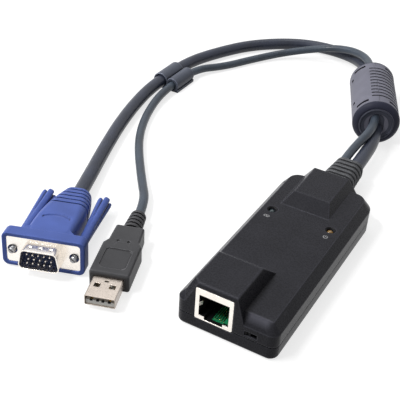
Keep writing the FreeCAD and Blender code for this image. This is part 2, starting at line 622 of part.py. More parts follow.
def socket_contacts():
    """Eight sprung wires that lie along the roof and slant back down into the mouth."""
    left, right, front, back, low, high = jack_frame()
    roof = low + size("mouth_bottom") + size("mouth_height")
    t = size("contact_thickness")
    near = front + 2.8
    far = front + size("mouth_depth") - 1.2
    tip = far - 2.2
    outline = [(far, roof + t), (near, roof + t), (near - 0.2, roof + 0.4 * t), (near, roof - 0.1),
               (tip, roof - 3.9), (tip + 0.3, roof - 3.9 + 0.9 * t), (near + 0.9, roof), (far, roof)]
    solids = []
    for i in range(8):
        x = size("jack_centre") + (i - 3.5) * size("contact_pitch") - size("contact_width") / 2
        points = [V(x, y, z) for y, z in outline]
        face = Part.Face(Part.makePolygon(points + points[:1]))
        solids.append(face.extrude(V(size("contact_width"), 0, 0)))
    return shaped("socket_contacts", Part.makeCompound(solids))


# The recovery switch in its window

def switch_numbers():
    wall_in = -size("housing_length") / 2 + size("wall")
    centre = size("window_left") + size("window_width") / 2
    low = size("board_height") + size("board_thickness")
    knob_low = size("window_bottom") + size("knob_gap")
    knob_high = size("window_bottom") + size("window_height") - size("knob_gap")
    return wall_in, centre, low, knob_low, knob_high


def recovery_switch_body():
    wall_in, centre, low, knob_low, knob_high = switch_numbers()
    half = size("switch_width") / 2
    front = wall_in + 0.1
    case = block(centre - half, centre + half, front, front + size("switch_depth"), low, low + size("switch_height"))
    gap = size("knob_gap")
    start = size("window_left") + gap
    slot = block(start - gap, start + size("knob_width") + size("knob_travel") + gap, front - 1,
                 front + size("switch_slot_depth"), knob_low - gap, knob_high + gap)
    return shaped("recovery_switch_body", case.cut(slot))


def recovery_switch_knob():
    """The slide at the left end of its travel, with two ridges for a fingertip."""
    wall_in, centre, low, knob_low, knob_high = switch_numbers()
    tip = -size("housing_length") / 2 + size("knob_inset")
    left = size("window_left") + size("knob_gap")
    width = size("knob_width")
    back = wall_in + 0.1 + size("switch_slot_depth") - size("knob_gap")
    knob = block(left, left + width, tip + 0.35, back, knob_low, knob_high)
    ridge = width / 3.2
    for x in (left, left + width - ridge):
        knob = knob.fuse(block(x, x + ridge, tip, tip + 0.4, knob_low, knob_high))
    return shaped("recovery_switch_knob", knob.removeSplitter())


# The two indicator lamps

def lamp(label, side):
    x = side * size("led_across")
    y = size("led_place")
    radius = size("led_radius")
    low = size("board_height") + size("board_thickness")
    flange = size("led_flange_height")
    dome = size("led_top") - radius
    profile = Part.Wire([
        Part.makeLine(V(0, 0, flange), V(size("led_flange_radius"), 0, flange)),
        Part.makeLine(V(size("led_flange_radius"), 0, flange), V(size("led_flange_radius"), 0, flange + 0.9)),
        Part.makeLine(V(size("led_flange_radius"), 0, flange + 0.9), V(radius, 0, flange + 0.9)),
        Part.makeLine(V(radius, 0, flange + 0.9), V(radius, 0, dome)),
        Part.Arc(V(radius, 0, dome), V(radius * math.sqrt(0.5), 0, dome + radius * math.sqrt(0.5)),
                 V(0, 0, dome + radius)).toShape(),
        Part.makeLine(V(0, 0, dome + radius), V(0, 0, flange))])
    lens = Part.Face(profile).revolve(V(0, 0, 0), V(0, 0, 1), 360)
    leg = size("led_leg")
    for offset in (-1.27, 1.27):
        lens = lens.fuse(block(offset - leg / 2, offset + leg / 2, -leg / 2, leg / 2, low, flange + 0.1))
    lens.translate(V(x, y, 0))
    return shaped(label, lens)


# The strain relief

def boot_section(y, share, shrink):
    width = fraction(size("boot_width"), size("boot_end_width"), share) - 2 * shrink
    thickness = fraction(size("boot_thickness"), size("boot_end_thickness"), share) - 2 * shrink
    return oval(width, thickness, y, size("boot_centre"), size("boot_height"), 0.92)


def strain_relief():
    """A flat ribbed boot round both cords, with a neck and a collar that the two shells trap."""
    start = size("housing_length") / 2
    end = start + size("boot_length")
    depth = size("boot_rib_depth")
    outer = Part.makeLoft([boot_section(start, 0, 0), boot_section(end, 1, 0)], True, True)
    core = Part.makeLoft([boot_section(start, 0, depth), boot_section(end, 1, depth)], True, True)
    pitch = size("boot_length") / size("boot_rib_count")
    boot = core
    for i in range(int(size("boot_rib_count"))):
        boot = boot.fuse(outer.common(slab(start + i * pitch, start + (i + size("boot_rib_share")) * pitch, 90.0)))
    neck_end = start - size("wall")
    neck = Part.makeLoft([oval(size("boot_neck_width"), size("boot_neck_thickness"), y, size("boot_centre"),
                               size("boot_height")) for y in (neck_end - 0.2, start + 1)], True, True)
    collar_start = neck_end - 0.1 - size("boot_collar_length")
    collar = Part.makeLoft([oval(size("boot_collar_width"), size("boot_collar_thickness"), y,
                                 size("boot_centre"), size("boot_height"), 0.9)
                            for y in (collar_start, neck_end - 0.1)], True, True)
    boot = boot.fuse([neck, collar])
    for route, diameter in ((VIDEO_ROUTE, "video_cord_diameter"), (USB_ROUTE, "usb_cord_diameter")):
        entry = V(*route[0])
        way = V(*route[1]) - entry
        boot = boot.cut(Part.makeCylinder(size(diameter) / 2 + size("bore_gap"), 40.0, entry, way))
    return shaped("strain_relief", boot.removeSplitter())


# The video plug, in its own frame: its face at y = 0, its nose along -Y

def dee(width, height, y0, y1, corner):
    """The slanted outline of the connector, wide side down, as a prism along Y."""
    lean = height * math.tan(math.radians(size("dee_slant")))
    points = [V(-width / 2, y0, -height / 2), V(width / 2, y0, -height / 2),
              V(width / 2 - lean, y0, height / 2), V(-width / 2 + lean, y0, height / 2)]
    prism = Part.Face(Part.makePolygon(points + points[:1])).extrude(V(0, y1 - y0, 0))
    return prism.makeFillet(corner, [e for e in prism.Edges if abs(e.tangentAt(0).y) > 0.99])


def both_sides():
    return (-size("jackscrew_across"), size("jackscrew_across"))


def video_plug_shell():
    """The stamped flange with its D-shaped nose and the three dimples on top."""
    t = size("plate_thickness")
    wall = size("dee_wall")
    plate = block(-size("plate_width") / 2, size("plate_width") / 2, 0, t,
                  -size("plate_height") / 2, size("plate_height") / 2)
    plate = plate.makeFillet(size("plate_corner"), [e for e in plate.Edges if abs(e.tangentAt(0).y) > 0.99])
    nose = dee(size("dee_width"), size("dee_height"), -size("dee_length"), t, size("dee_corner"))
    shell = plate.fuse(nose)
    shell = shell.cut(dee(size("dee_width") - 2 * wall, size("dee_height") - 2 * wall,
                          -size("dee_length") - 1, t + 1, size("dee_corner") - wall))
    for x in both_sides():
        shell = shell.cut(rod(size("plate_hole_radius"), -1, t + 1, x))
    top = size("dee_height") / 2
    for i in (-1, 0, 1):
        dimple = Part.makeSphere(0.95, V(i * 4.2, -size("dee_length") * 0.55, top + 0.4))
        shell = shell.cut(dimple)
    return shaped("video_plug_shell", shell.removeSplitter(), "video")


def pin_places():
    places = []
    for row in (-1, 0, 1):
        for column in range(5):
            x = (column - 2) * size("pin_pitch") + (row == 0) * size("pin_pitch") / 4 - size("pin_pitch") / 8
            places.append((x, row * size("pin_row")))
    return places


def video_plug_insulator():
    wall = size("dee_wall") + size("insert_gap")
    core = dee(size("dee_width") - 2 * wall, size("dee_height") - 2 * wall, -size("insulator_face"),
               size("insulator_back"), size("dee_corner") - wall)
    for x, z in pin_places():
        core = core.cut(rod(size("pin_radius") + size("screw_bite"), -9, 9, x, z))
    return shaped("video_plug_insulator", core, "video")


def video_plug_pins():
    radius = size("pin_radius")
    solids = []
    for x, z in pin_places():
        tip = Part.makeCone(radius * 0.45, radius, 0.6, V(x, -size("pin_length") - 0.6, z), V(0, 1, 0))
        solids.append(rod(radius, -size("pin_length"), size("insulator_back"), x, z).fuse(tip).removeSplitter())
    return shaped("video_plug_pins", Part.makeCompound(solids), "video")


def hood_sections(shrink):
    """The hood's body from its block to the cord: flat and wide, then nearly round."""
    w = size("hood_neck_width")
    h = size("hood_neck_height")
    end = size("hood_end")
    start = size("hood_block")
    rows = [(start - 1.0, w, h, 0.42), (fraction(start, end, 0.46), w, h * 0.97, 0.5),
            (fraction(start, end, 0.72), w * 0.92, h * 0.88, 0.75), (end, w * 0.66, h * 0.7, 0.95)]
    return [oval(a - 2 * shrink, b - 2 * shrink, y, share=c) for y, a, b, c in rows]


def video_plug_hood():
    front = -size("hood_front")
    back = size("hood_block")
    width = size("hood_width") / 2
    height = size("hood_height") / 2
    rim = block(-width, width, front, back, -height, height)
    rim = rim.makeFillet(size("hood_corner"), [e for e in rim.Edges if abs(e.tangentAt(0).y) > 0.99])
    rim = rim.makeFillet(0.5, [e for e in rim.Edges if abs(e.tangentAt(e.FirstParameter).y) < 0.01
                               and e.CenterOfMass.y < front + 0.01])
    outer = Part.makeLoft(hood_sections(0), True, False)
    core = Part.makeLoft(hood_sections(size("relief_depth")), True, False)
    for i in range(int(size("relief_count"))):
        y = size("hood_end") - 1.8 - i * size("relief_pitch")
        outer = outer.cut(slab(y - size("relief_width"), y).common(outer).cut(core))
    neck = size("hood_neck_width") / 2
    hood = rim.fuse(outer)
    for side in (-1, 1):
        foot = Part.makePolygon([V(side * (neck - 2.0), back - 0.5, 0), V(side * (neck + 3.6), back - 0.5, 0),
                                 V(side * (neck - 2.0), back + 5.0, 0), V(side * (neck - 2.0), back - 0.5, 0)])
        for low, high in ((size("thumb_radius") + 0.7, height - 1.2), (-height + 1.2, -size("thumb_radius") - 0.7)):
            gusset = Part.Face(foot).extrude(V(0, 0, high - low))
            gusset.translate(V(0, 0, low))
            hood = hood.fuse(gusset)
    seat = size("insert_gap")
    hood = hood.cut(block(-size("plate_width") / 2 - seat, size("plate_width") / 2 + seat, 0,
                          size("plate_thickness"), -size("plate_height") / 2 - seat,
                          size("plate_height") / 2 + seat))
    half_w = size("plate_width") / 2 - size("hood_lip")
    half_h = size("plate_height") / 2 - size("hood_lip")
    mouth = block(-half_w, half_w, -1, 0.2, -half_h, half_h)
    hood = hood.cut(mouth.makeFillet(size("plate_corner"), [e for e in mouth.Edges if abs(e.tangentAt(0).y) > 0.99]))
    wall = size("dee_wall")
    hood = hood.cut(dee(size("dee_width") - 2 * wall, size("dee_height") - 2 * wall, 0,
                        size("insulator_back"), size("dee_corner") - wall))
    for x in both_sides():
        hood = hood.cut(rod(size("jackscrew_radius") + size("jackscrew_gap"), -1, back + 1, x))
    ring = Part.makeTorus(9.0, 0.75, V(0, 9.5, 0), V(0, 0, 1)).common(block(-5.8, 5.8, 12, 22, -1, 1))
    top = hood.common(block(-0.2, 0.2, 18.8, 19.2, 0, 20)).BoundBox.ZMax
    ring.translate(V(0, 0, top + 0.1))
    hood = hood.cut(ring)
    hood = hood.cut(cord_end("video", VIDEO_ROUTE, size("video_cord_diameter") / 2 + size("bore_gap")))
    return shaped("video_plug_hood", hood.removeSplitter(), "video")


def cord_end(place, route, radius):
    """The end of a cord as a straight bore, in the frame of the plug that it enters."""
    back = lie(place).inverse()
    end = back.multVec(V(*route[-1]))
    way = back.multVec(V(*route[-2])) - end
    return Part.makeCylinder(radius, 30.0, end, way)


def thumb_knob(label, x):
    """A slim grip on the screw, with a collar at the hood and a wider, fluted tip."""
    start = size("hood_block") + size("thumb_gap")
    end = size("thumb_end")
    collar = size("thumb_collar")
    waist = size("thumb_waist")
    radius = size("thumb_radius")
    rows = [(0, start), (collar - 0.4, start), (collar, start + 0.4), (collar, start + 2.2), (waist, start + 3.6),
            (waist, fraction(start, end, 0.35)), (radius * 0.92, fraction(start, end, 0.86)),
            (radius, end - 1.2), (radius - 0.9, end), (0, end)]
    outline = Part.makePolygon([V(x + r, y, 0) for r, y in rows + rows[:1]])
    knob = Part.Face(outline).revolve(V(x, 0, 0), V(0, 1, 0), 360)
    flute = size("thumb_flute")
    first = size("thumb_flute_start")
    for i in range(int(size("thumb_flute_count"))):
        angle = 2 * math.pi * i / size("thumb_flute_count") + 0.3
        away = radius + 0.2
        place = V(x + away * math.cos(angle), first, away * math.sin(angle))
        knob = knob.cut(Part.makeCone(flute * 0.3, flute, end + 1 - first, place, V(0, 1, 0)))
    knob = knob.cut(rod(size("jackscrew_radius"), 0, size("jackscrew_root"), x))
    return shaped(label, knob.removeSplitter(), "video")


def thumb_screw(label, x):
    radius = size("jackscrew_radius")
    tip = -size("jackscrew_tip")
    screw = rod(radius, tip + 0.5, size("jackscrew_root"), x)
    screw = screw.fuse(Part.makeCone(radius - 0.4, radius, 0.5, V(x, tip, 0), V(0, 1, 0)))
    return shaped(label, screw.removeSplitter(), "video")


# The USB plug, in its own frame: its mouth at y = 0

def usb_plug_shell():
    w = size("usb_width") / 2
    h = size("usb_height") / 2
    t = size("usb_wall")
    end = size("usb_depth") + size("usb_root")
    shell = block(-w, w, 0, end, -h, h)
    shell = shell.makeFillet(0.55, [e for e in shell.Edges if abs(e.tangentAt(0).y) > 0.99])
    shell = shell.cut(block(-w + t, w - t, -1, end + 1, -h + t, h - t))
    for x in (-w / 2, w / 2):
        shell = shell.cut(block(x - 1.2, x + 1.2, 5.6, 7.8, -h - 1, h + 1))
    shell = shell.cut(block(-0.8, 0.8, 9.0, 9.9, 0, h + 1))
    return shaped("usb_plug_shell", shell, "usb")


def usb_tongue_top():
    return -size("usb_height") / 2 + size("usb_wall") + 0.02 + size("tongue_height")


def contact_columns():
    return [(-3.5, 0.0), (-1.0, 1.0), (1.0, 1.0), (3.5, 0.0)]


def usb_plug_tongue():
    half = size("tongue_width") / 2
    top = usb_tongue_top()
    low = top - size("tongue_height")
    end = size("usb_depth") + size("usb_root")
    tongue = block(-half, half, size("tongue_recess"), end, low, top)
    tongue = tongue.fuse(block(-half, half, end - 4.5, end, low, size("usb_height") / 2 - size("usb_wall") - 0.02))
    for x, back in contact_columns():
        reach = size("usb_contact_width") / 2 + 0.02
        tongue = tongue.cut(block(x - reach, x + reach, size("tongue_recess") + 0.8 + back,
                                  size("tongue_recess") + 0.8 + size("usb_contact_length"),
                                  top - size("usb_contact_thickness"), top + 1))
    return shaped("usb_plug_tongue", tongue.removeSplitter(), "usb")


def usb_plug_contacts():
    top = usb_tongue_top()
    solids = []
    for x, back in contact_columns():
        half = size("usb_contact_width") / 2
        start = size("tongue_recess") + 0.82 + back
        end = size("tongue_recess") + 0.78 + size("usb_contact_length")
        solids.append(block(x - half, x + half, start, end, top - size("usb_contact_thickness"), top + 0.05))
    return shaped("usb_plug_contacts", Part.makeCompound(solids), "usb")


def usb_plug_overmould():
    """The moulded grip: a wide body with shoulders, a neck, a shallow label panel and a ribbed boot."""
    w = size("mould_width") / 2
    n = size("mould_neck_width") / 2
    start = size("usb_depth")
    shoulder = size("mould_shoulder")
    end = size("mould_end")
    h = size("mould_thickness") / 2
    corners = [(-w, start), (w, start), (w, shoulder), (n + 0.4, shoulder + 2.6), (n, end), (-n, end),
               (-n - 0.4, shoulder + 2.6), (-w, shoulder)]
    points = [V(x, y, -h) for x, y in corners]
    body = Part.Face(Part.makePolygon(points + points[:1])).extrude(V(0, 0, 2 * h))
    body = body.makeFillet(1.0, [e for e in body.Edges if abs(e.tangentAt(0).z) > 0.99])
    edges = [e for e in body.Edges if abs(e.BoundBox.ZMin - e.BoundBox.ZMax) < 0.01]
    body = body.makeChamfer(size("mould_edge"), edges)
    boot_end = size("mould_boot_end")
    r0 = size("mould_boot_radius")
    r1 = size("mould_boot_tip")
    core = Part.makeCone(r0 - 0.8, r1 - 0.8, boot_end - end + 0.5, V(0, end - 0.5, 0), V(0, 1, 0))
    outer = Part.makeCone(r0, r1, boot_end - end + 0.5, V(0, end - 0.5, 0), V(0, 1, 0))
    body = body.fuse(core)
    pitch = (boot_end - end) / 5
    for i in range(5):
        y = end + (i + 0.4) * pitch
        body = body.fuse(outer.common(slab(y, y + pitch * 0.6)))
    half = size("label_width") / 2
    panel = block(-half, half, start + 3.6, start + 3.6 + size("label_length"), h - size("label_depth"), h + 1)
    panel = panel.makeFillet(1.6, [e for e in panel.Edges if abs(e.tangentAt(0).z) > 0.99])
    body = body.cut(panel)
    for x in (-2.2, 2.2):
        body = body.cut(Part.makeCylinder(0.6, 1, V(x, start + 20.8, h - 0.4)))
    shell_w = size("usb_width") / 2
    shell_h = size("usb_height") / 2
    body = body.cut(block(-shell_w, shell_w, start - 1, start + size("usb_root"), -shell_h, shell_h))
    body = body.cut(cord_end("usb", USB_ROUTE, size("usb_cord_diameter") / 2 + size("bore_gap")))
    return shaped("usb_plug_overmould", body.removeSplitter(), "usb")


# The ferrite, in its own frame: its axis along +Y from its near end

def ferrite_half(label, side):
    """Half of the snap cover, with ribs over its top and right side, latch slots and an oval way at its ends."""
    radius = size("ferrite_radius")
    length = size("ferrite_length")
    case = rod(radius, 0, length)
    case = case.makeChamfer(size("ferrite_bevel"), [e for e in case.Edges if e.Closed])
    lip = size("ferrite_lip_length")
    way = size("ferrite_way_radius")
    rise = size("ferrite_bore_radius") - way
    case = case.cut(rod(way, -1, length + 1, 0, rise)).cut(rod(way, -1, length + 1, 0, -rise))
    case = case.cut(block(-way, way, -1, length + 1, -rise, rise))
    case = case.cut(rod(radius - size("ferrite_wall"), lip, length - lip))
    seam = size("ferrite_seam") / 2
    reach = radius + 1
    half = block(min(side * seam, side * reach), max(side * seam, side * reach), -1, length + 1, -reach, reach)
    case = case.common(half)
    ribbed = block(0, reach, -1, length + 1, -radius * 0.8, reach)
    if side < 0:
        ribbed = block(-size("ferrite_groove_reach"), 0, -1, length + 1, 0, reach)
    first = (length - (size("ferrite_rib_count") - 1) * size("ferrite_rib_pitch")) / 2
    for i in range(int(size("ferrite_rib_count"))):
        y = first + i * size("ferrite_rib_pitch") - size("ferrite_groove") / 2
        band = rod(radius + 1, y, y + size("ferrite_groove"))
        band = band.cut(rod(radius - size("ferrite_groove_depth"), y - 1, y + 2))
        case = case.cut(band.common(ribbed))
    for y in (4.4, length - 6.3):
        slot = block(-3.5, 3.5, y, y + 1.9, radius - 4, radius + 1)
        slot.rotate(V(0, 0, 0), V(0, 1, 0), side * size("ferrite_slot_angle"))
        case = case.cut(slot)
    if side < 0:
        for y in (length * 0.24, length * 0.76):
            mark = block(-0.9, 0.9, y, y + 2.0, radius - 0.9, radius + 1)
            mark.rotate(V(0, 0, 0), V(0, 1, 0), -72)
            case = case.cut(mark)
    return shaped(label, case, "ferrite")


def ferrite_core():
    lip = size("ferrite_lip_length")
    gap = size("ferrite_core_gap")
    outer = rod(size("ferrite_radius") - size("ferrite_wall") - gap, lip + gap, size("ferrite_length") - lip - gap)
    outer = outer.makeChamfer(0.6, [e for e in outer.Edges if e.Closed])
    return shaped("ferrite_core", outer.cut(rod(size("ferrite_bore_radius"), 0, size("ferrite_length"))), "ferrite")


# The clip, in its own frame: the video cord's barrel on the axis, the USB cord's beside it

def cord_clip():
    big = size("video_cord_diameter") / 2 + size("clip_bore_gap")
    small = size("usb_cord_diameter") / 2 + size("clip_bore_gap")
    wall = size("clip_wall")
    outer = small + size("clip_small_wall")
    length = size("clip_length")
    across = big + small + size("clip_small_wall") - 0.1
    drop = outer - lie("clip").Base.z
    clip = rod(big + wall, 0, length).fuse(rod(outer, 0, length, across, drop))
    clip = clip.fuse(block(across, across + outer, 0, length, drop - outer, drop - outer + size("clip_foot")))
    clip = clip.fuse(block(0, across, 0, length, -1.6, 0.2))
    clip = clip.cut(rod(big, -1, length + 1)).cut(rod(small, -1, length + 1, across, drop))
    return shaped("cord_clip", clip.removeSplitter(), "clip")


# The cords

def cord_path(route):
    """Straight runs joined by arcs, each as large as its two runs allow."""
    points = [V(*p) for p in route]
    edges = []
    radii = []
    start = points[0]
    for before, at, after in zip(points, points[1:], points[2:]):
        back = before - at
        ahead = after - at
        reach = 0.45 * min(back.Length, ahead.Length)
        turn = math.pi - back.getAngle(ahead)
        radius = reach / math.tan(turn / 2)
        back.normalize()
        ahead.normalize()
        enter = at + back * reach
        leave = at + ahead * reach
        middle = (back + ahead).normalize()
        crown = at + middle * (math.hypot(radius, reach) - radius)
        edges.append(Part.LineSegment(start, enter).toShape())
        edges.append(Part.Arc(enter, crown, leave).toShape())
        radii.append(radius)
        start = leave
    edges.append(Part.LineSegment(start, points[-1]).toShape())
    return Part.Wire(edges), radii


def cord(label, route, diameter):
    path, radii = cord_path(route)
    area = math.pi * diameter ** 2 / 4
    first = V(*route[1]) - V(*route[0])
    ring = Part.Wire([Part.makeCircle(diameter / 2, V(*route[0]), first)])
    tube = path.makePipeShell([ring], True, False)
    share = tube.Volume / (area * path.Length)
    print(label, "length %.1f" % path.Length, "volume share %.4f" % share,
          "radii", " ".join("%.0f" % r for r in radii))
    if abs(share - 1) > 0.01:
        raise RuntimeError(label + " is not a whole tube")
    return shaped(label, tube)


def build():
    upper_shell()
    lower_shell()
    housing_screws()
    main_board()
    board_parts()
    socket_shield()
    socket_insert()
    socket_contacts()
    recovery_switch_body()
    recovery_switch_knob()
    lamp("link_lamp", -1)
    lamp("power_lamp", 1)
    strain_relief()
    video_plug_shell()
    video_plug_insulator()
    video_plug_pins()
    video_plug_hood()
    for name, x in zip(("left", "right"), both_sides()):
        thumb_knob(name + "_thumb_knob", x)
        thumb_screw(name + "_thumb_screw", x)
    usb_plug_shell()
    usb_plug_tongue()
    usb_plug_contacts()
    usb_plug_overmould()
    ferrite_half("ferrite_cover_left", -1)
    ferrite_half("ferrite_cover_right", 1)
    ferrite_core()
    cord_clip()
    cord("video_cord", VIDEO_ROUTE, size("video_cord_diameter"))
    cord("usb_cord", USB_ROUTE, size("usb_cord_diameter"))


def check_and_write():
    doc.recompute()
    for item in doc.Objects:
        if "Invalid" in item.State or "Error" in item.State:
            raise RuntimeError("%s failed: %s" % (item.Name, item.State))
    os.makedirs(OUT, exist_ok=True)
    for node in nodes:
        shape = node.Shape
        if shape.isNull() or not shape.isValid():
            raise RuntimeError(node.Label + " has no valid shape")
        shape.exportStep(os.path.join(OUT, node.Label + ".step"))
        print("%-22s solids %2d  volume %9.1f" % (node.Label, len(shape.Solids), shape.Volume))


build()
check_and_write()
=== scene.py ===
import json
import math

import bmesh
import bpy
from mathutils import Matrix, Vector
from mathutils.bvhtree import BVHTree


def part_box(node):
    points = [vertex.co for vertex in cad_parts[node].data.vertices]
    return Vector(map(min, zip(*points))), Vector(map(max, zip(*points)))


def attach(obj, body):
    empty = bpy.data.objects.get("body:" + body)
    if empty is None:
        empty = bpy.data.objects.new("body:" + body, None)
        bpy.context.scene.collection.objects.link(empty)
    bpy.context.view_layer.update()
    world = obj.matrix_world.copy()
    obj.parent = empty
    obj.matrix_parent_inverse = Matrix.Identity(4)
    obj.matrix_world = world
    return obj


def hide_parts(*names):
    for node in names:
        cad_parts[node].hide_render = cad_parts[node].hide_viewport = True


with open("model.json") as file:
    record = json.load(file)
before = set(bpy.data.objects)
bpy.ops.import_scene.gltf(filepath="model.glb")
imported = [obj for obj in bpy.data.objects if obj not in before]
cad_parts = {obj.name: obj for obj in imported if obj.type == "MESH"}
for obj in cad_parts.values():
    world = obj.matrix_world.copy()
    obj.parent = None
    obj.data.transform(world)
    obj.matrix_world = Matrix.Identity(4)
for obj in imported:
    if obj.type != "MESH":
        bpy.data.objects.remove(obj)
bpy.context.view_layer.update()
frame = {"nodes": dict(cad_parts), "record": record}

# Dresses the console adapter: a dark two-part housing with a network socket at one end, and at the
# other a ribbed relief with two cords, which run through a ferrite and a clip to a blue video plug
# and a black USB plug. Metres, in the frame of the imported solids: the origin is the middle of the
# housing's underside, -Y the socket's face, +X right as that face is seen, +Z up.

bl_info = {
    "name": "Console adapter",
    "version": (1, 0, 0),
    "blender": (4, 5, 0),
    "location": "3D View > Sidebar > Adapter",
    "description": "Finishes a server console adapter around its solids, with cords and a plain stage",
    "category": "Object",
}

MM = 0.001
SLOTS = {part["node"]: part["material_slot"] for part in frame["record"]["subparts"]}
BODY_OF = {node: body for body, nodes in frame["record"]["behaviour"]["bodies"].items()
           for node in nodes}
MATERIALS = {}

# Where the plugs, the ferrite and the clip lie: x, y, z of their front in mm, then yaw and pitch
# in degrees. The same numbers place their solids.
PLACES = {
    "video": (-78.6, -52.9, 8.15, 19.5, -4.0),
    "usb": (-46.4, -60.5, 4.4, 18.5, 0.0),
    "ferrite": (-3.4, 115.2, 11.8, 22.9, 0.0),
    "clip": (-124.2, 105.3, 4.5, 0.0, 0.0),
}

# The cords' routes from the housing to the plugs, as the solids' routes have them.
VIDEO_ROUTE = [
    (0.0013, 0.060, 0.0085), (0.0013, 0.084, 0.0086), (-0.0003, 0.1078, 0.0094), (-0.013, 0.138, 0.0096),
    (-0.0259, 0.168, 0.0092), (-0.0335, 0.184, 0.0074), (-0.045, 0.1965, 0.0052), (-0.061, 0.2026, 0.0037),
    (-0.078, 0.2006, 0.0035), (-0.093, 0.1916, 0.0035), (-0.107, 0.177, 0.0035), (-0.117, 0.1575, 0.0035),
    (-0.1238, 0.134, 0.0044), (-0.1243, 0.098, 0.0045), (-0.1218, 0.077, 0.0036), (-0.1165, 0.055, 0.0035),
    (-0.109, 0.0315, 0.0035), (-0.0997, 0.0056, 0.0039), (-0.0916, -0.0162, 0.0054),
]
USB_ROUTE = [
    (-0.0043, 0.060, 0.0087), (-0.0054, 0.084, 0.011), (-0.001, 0.1076, 0.0152), (-0.013, 0.138, 0.0152),
    (-0.026, 0.1684, 0.0148), (-0.034, 0.183, 0.0136), (-0.0455, 0.192, 0.0116), (-0.059, 0.1944, 0.0088),
    (-0.073, 0.1894, 0.0056), (-0.086, 0.180, 0.0032), (-0.097, 0.164, 0.0023), (-0.106, 0.146, 0.0023),
    (-0.1167, 0.1295, 0.00385), (-0.1169, 0.0975, 0.00385), (-0.1138, 0.079, 0.0026), (-0.107, 0.060, 0.0023),
    (-0.0974, 0.0426, 0.0023), (-0.0796, 0.0186, 0.0024), (-0.068, 0.004, 0.0037), (-0.0623, -0.0131, 0.0044),
]

# Measures of the solids that more than one piece needs, in metres.
LAMP_X = 0.013
MARK_HEIGHTS = (0.01528, 0.01533)
PIN_PITCH = 0.00229
PIN_ROW = 0.00198
WIRE_PITCH = 0.00102
THUMB_X = 0.0125
FERRITE_LENGTH = 0.0494
GROMMET_STEP = 0.0476
SCREWS_APART = (0.0312, 0.0765)

# The relief's tube has a ring of points this often, so that its ribs come out round.
RELIEF_FINENESS = 0.0001

# Edges sharper than this, in radians, are rounded, and away from the surface by this much is open air.
SHARP_ANGLE = math.radians(28.0)
OPEN_AIR = 0.00001

# The front top edge gets a painted highlight right of this x, this far back from the front, and up to the
# deck.
FRONT_HIGHLIGHT_FROM = (0.0068, 0.0026, 0.0153)
FRONT_HIGHLIGHT_TONE = 5.5


class AdapterSizes(bpy.types.PropertyGroup):
    """Sizes that a user would change."""
    video_cord: bpy.props.FloatProperty(
        name="Video cord", description="Diameter of the video cord", default=0.0066, min=0.004, max=0.009,
        unit="LENGTH", precision=4)
    usb_cord: bpy.props.FloatProperty(
        name="USB cord", description="Diameter of the USB cord", default=0.0042, min=0.003, max=0.006,
        unit="LENGTH", precision=4)
    edge_round: bpy.props.FloatProperty(
        name="Edge rounding", description="Rounding of the moulded edges", default=0.00035, min=0.0,
        max=0.001, unit="LENGTH", precision=5)


class AdapterColours(bpy.types.PropertyGroup):
    """Colours that a user would change."""
    housing: bpy.props.FloatVectorProperty(
        name="Housing", description="Colour of the textured housing", default=(0.0225, 0.0225, 0.0275),
        size=3, subtype="COLOR", min=0.0, max=1.0)
    video: bpy.props.FloatVectorProperty(
        name="Video plug", description="Colour of the video plug's hood", default=(0.075, 0.12, 0.38),
        size=3, subtype="COLOR", min=0.0, max=1.0)
    usb: bpy.props.FloatVectorProperty(
        name="USB plug", description="Colour of the USB plug's grip", default=(0.06, 0.06, 0.064), size=3,
        subtype="COLOR", min=0.0, max=1.0)
    cord: bpy.props.FloatVectorProperty(
        name="Cords", description="Colour of the cords' jackets", default=(0.032, 0.038, 0.06), size=3,
        subtype="COLOR", min=0.0, max=1.0)
    floor: bpy.props.FloatVectorProperty(
        name="Floor", description="Colour of the floor under its own glow", default=(0.4, 0.4, 0.4), size=3,
        subtype="COLOR", min=0.0, max=1.0)


# Nodes, for materials and for geometry alike

def fill(tree, node, inputs):
    """Sets a node's inputs, given as values or as sockets of other nodes."""
    for key, value in inputs.items():
        if isinstance(value, bpy.types.NodeSocket):
            tree.links.new(value, node.inputs[key])
        else:
            node.inputs[key].default_value = value


def add(tree, kind, inputs=None, **settings):
    """A new node with its settings and inputs."""
    node = tree.nodes.new(kind)
    for name, value in settings.items():
        setattr(node, name, value)
    fill(tree, node, inputs or {})
    return node


def math_node(tree, operation, *values):
    return add(tree, "ShaderNodeMath", dict(enumerate(values)), operation=operation).outputs[0]


def span(tree, value, low, high, from_low=0.3, from_high=0.7):
    """A value brought from one range to another."""
    return add(tree, "ShaderNodeMapRange", {"Value": value, "From Min": from_low, "From Max": from_high,
                                            "To Min": low, "To Max": high}).outputs["Result"]


# Materials. Patterns read Object coordinates, so sizes here are in metres.

def shader(name):
    """A new material, kept by its name: its tree, its main shader and its Object coordinates."""
    made = MATERIALS[name] = bpy.data.materials.new(name)
    made.use_nodes = True
    tree = made.node_tree
    return tree, tree.nodes["Principled BSDF"], add(tree, "ShaderNodeTexCoord").outputs["Object"]


def noise(tree, place, period, detail=2.0):
    """Noise whose features are about period metres across."""
    texture = add(tree, "ShaderNodeTexNoise", {"Vector": place, "Scale": 1.0 / period, "Detail": detail})
    return texture.outputs["Fac"]


def scaled(colour, factor):
    return tuple(min(1.0, c * factor) for c in colour)


def mixed(tree, share, first, second):
    """A colour between two, by a share. The two are colours or sockets."""
    first, second = (c if isinstance(c, bpy.types.NodeSocket) else (*c, 1.0) for c in (first, second))
    return add(tree, "ShaderNodeMix", {"Factor": share, 6: first, 7: second}, data_type="RGBA").outputs[2]


def toned(tree, share, colour, darker, lighter):
    """A colour that wanders between a darker and a lighter tone."""
    return mixed(tree, span(tree, share, 0.0, 1.0), scaled(colour, darker), scaled(colour, lighter))


def bump(tree, height, distance, strength, normal=None):
    """Bump of a depth in metres, on top of a rounded normal where there is one."""
    inputs = {"Height": height, "Distance": distance, "Strength": strength}
    if normal:
        inputs["Normal"] = normal
    return add(tree, "ShaderNodeBump", inputs).outputs["Normal"]


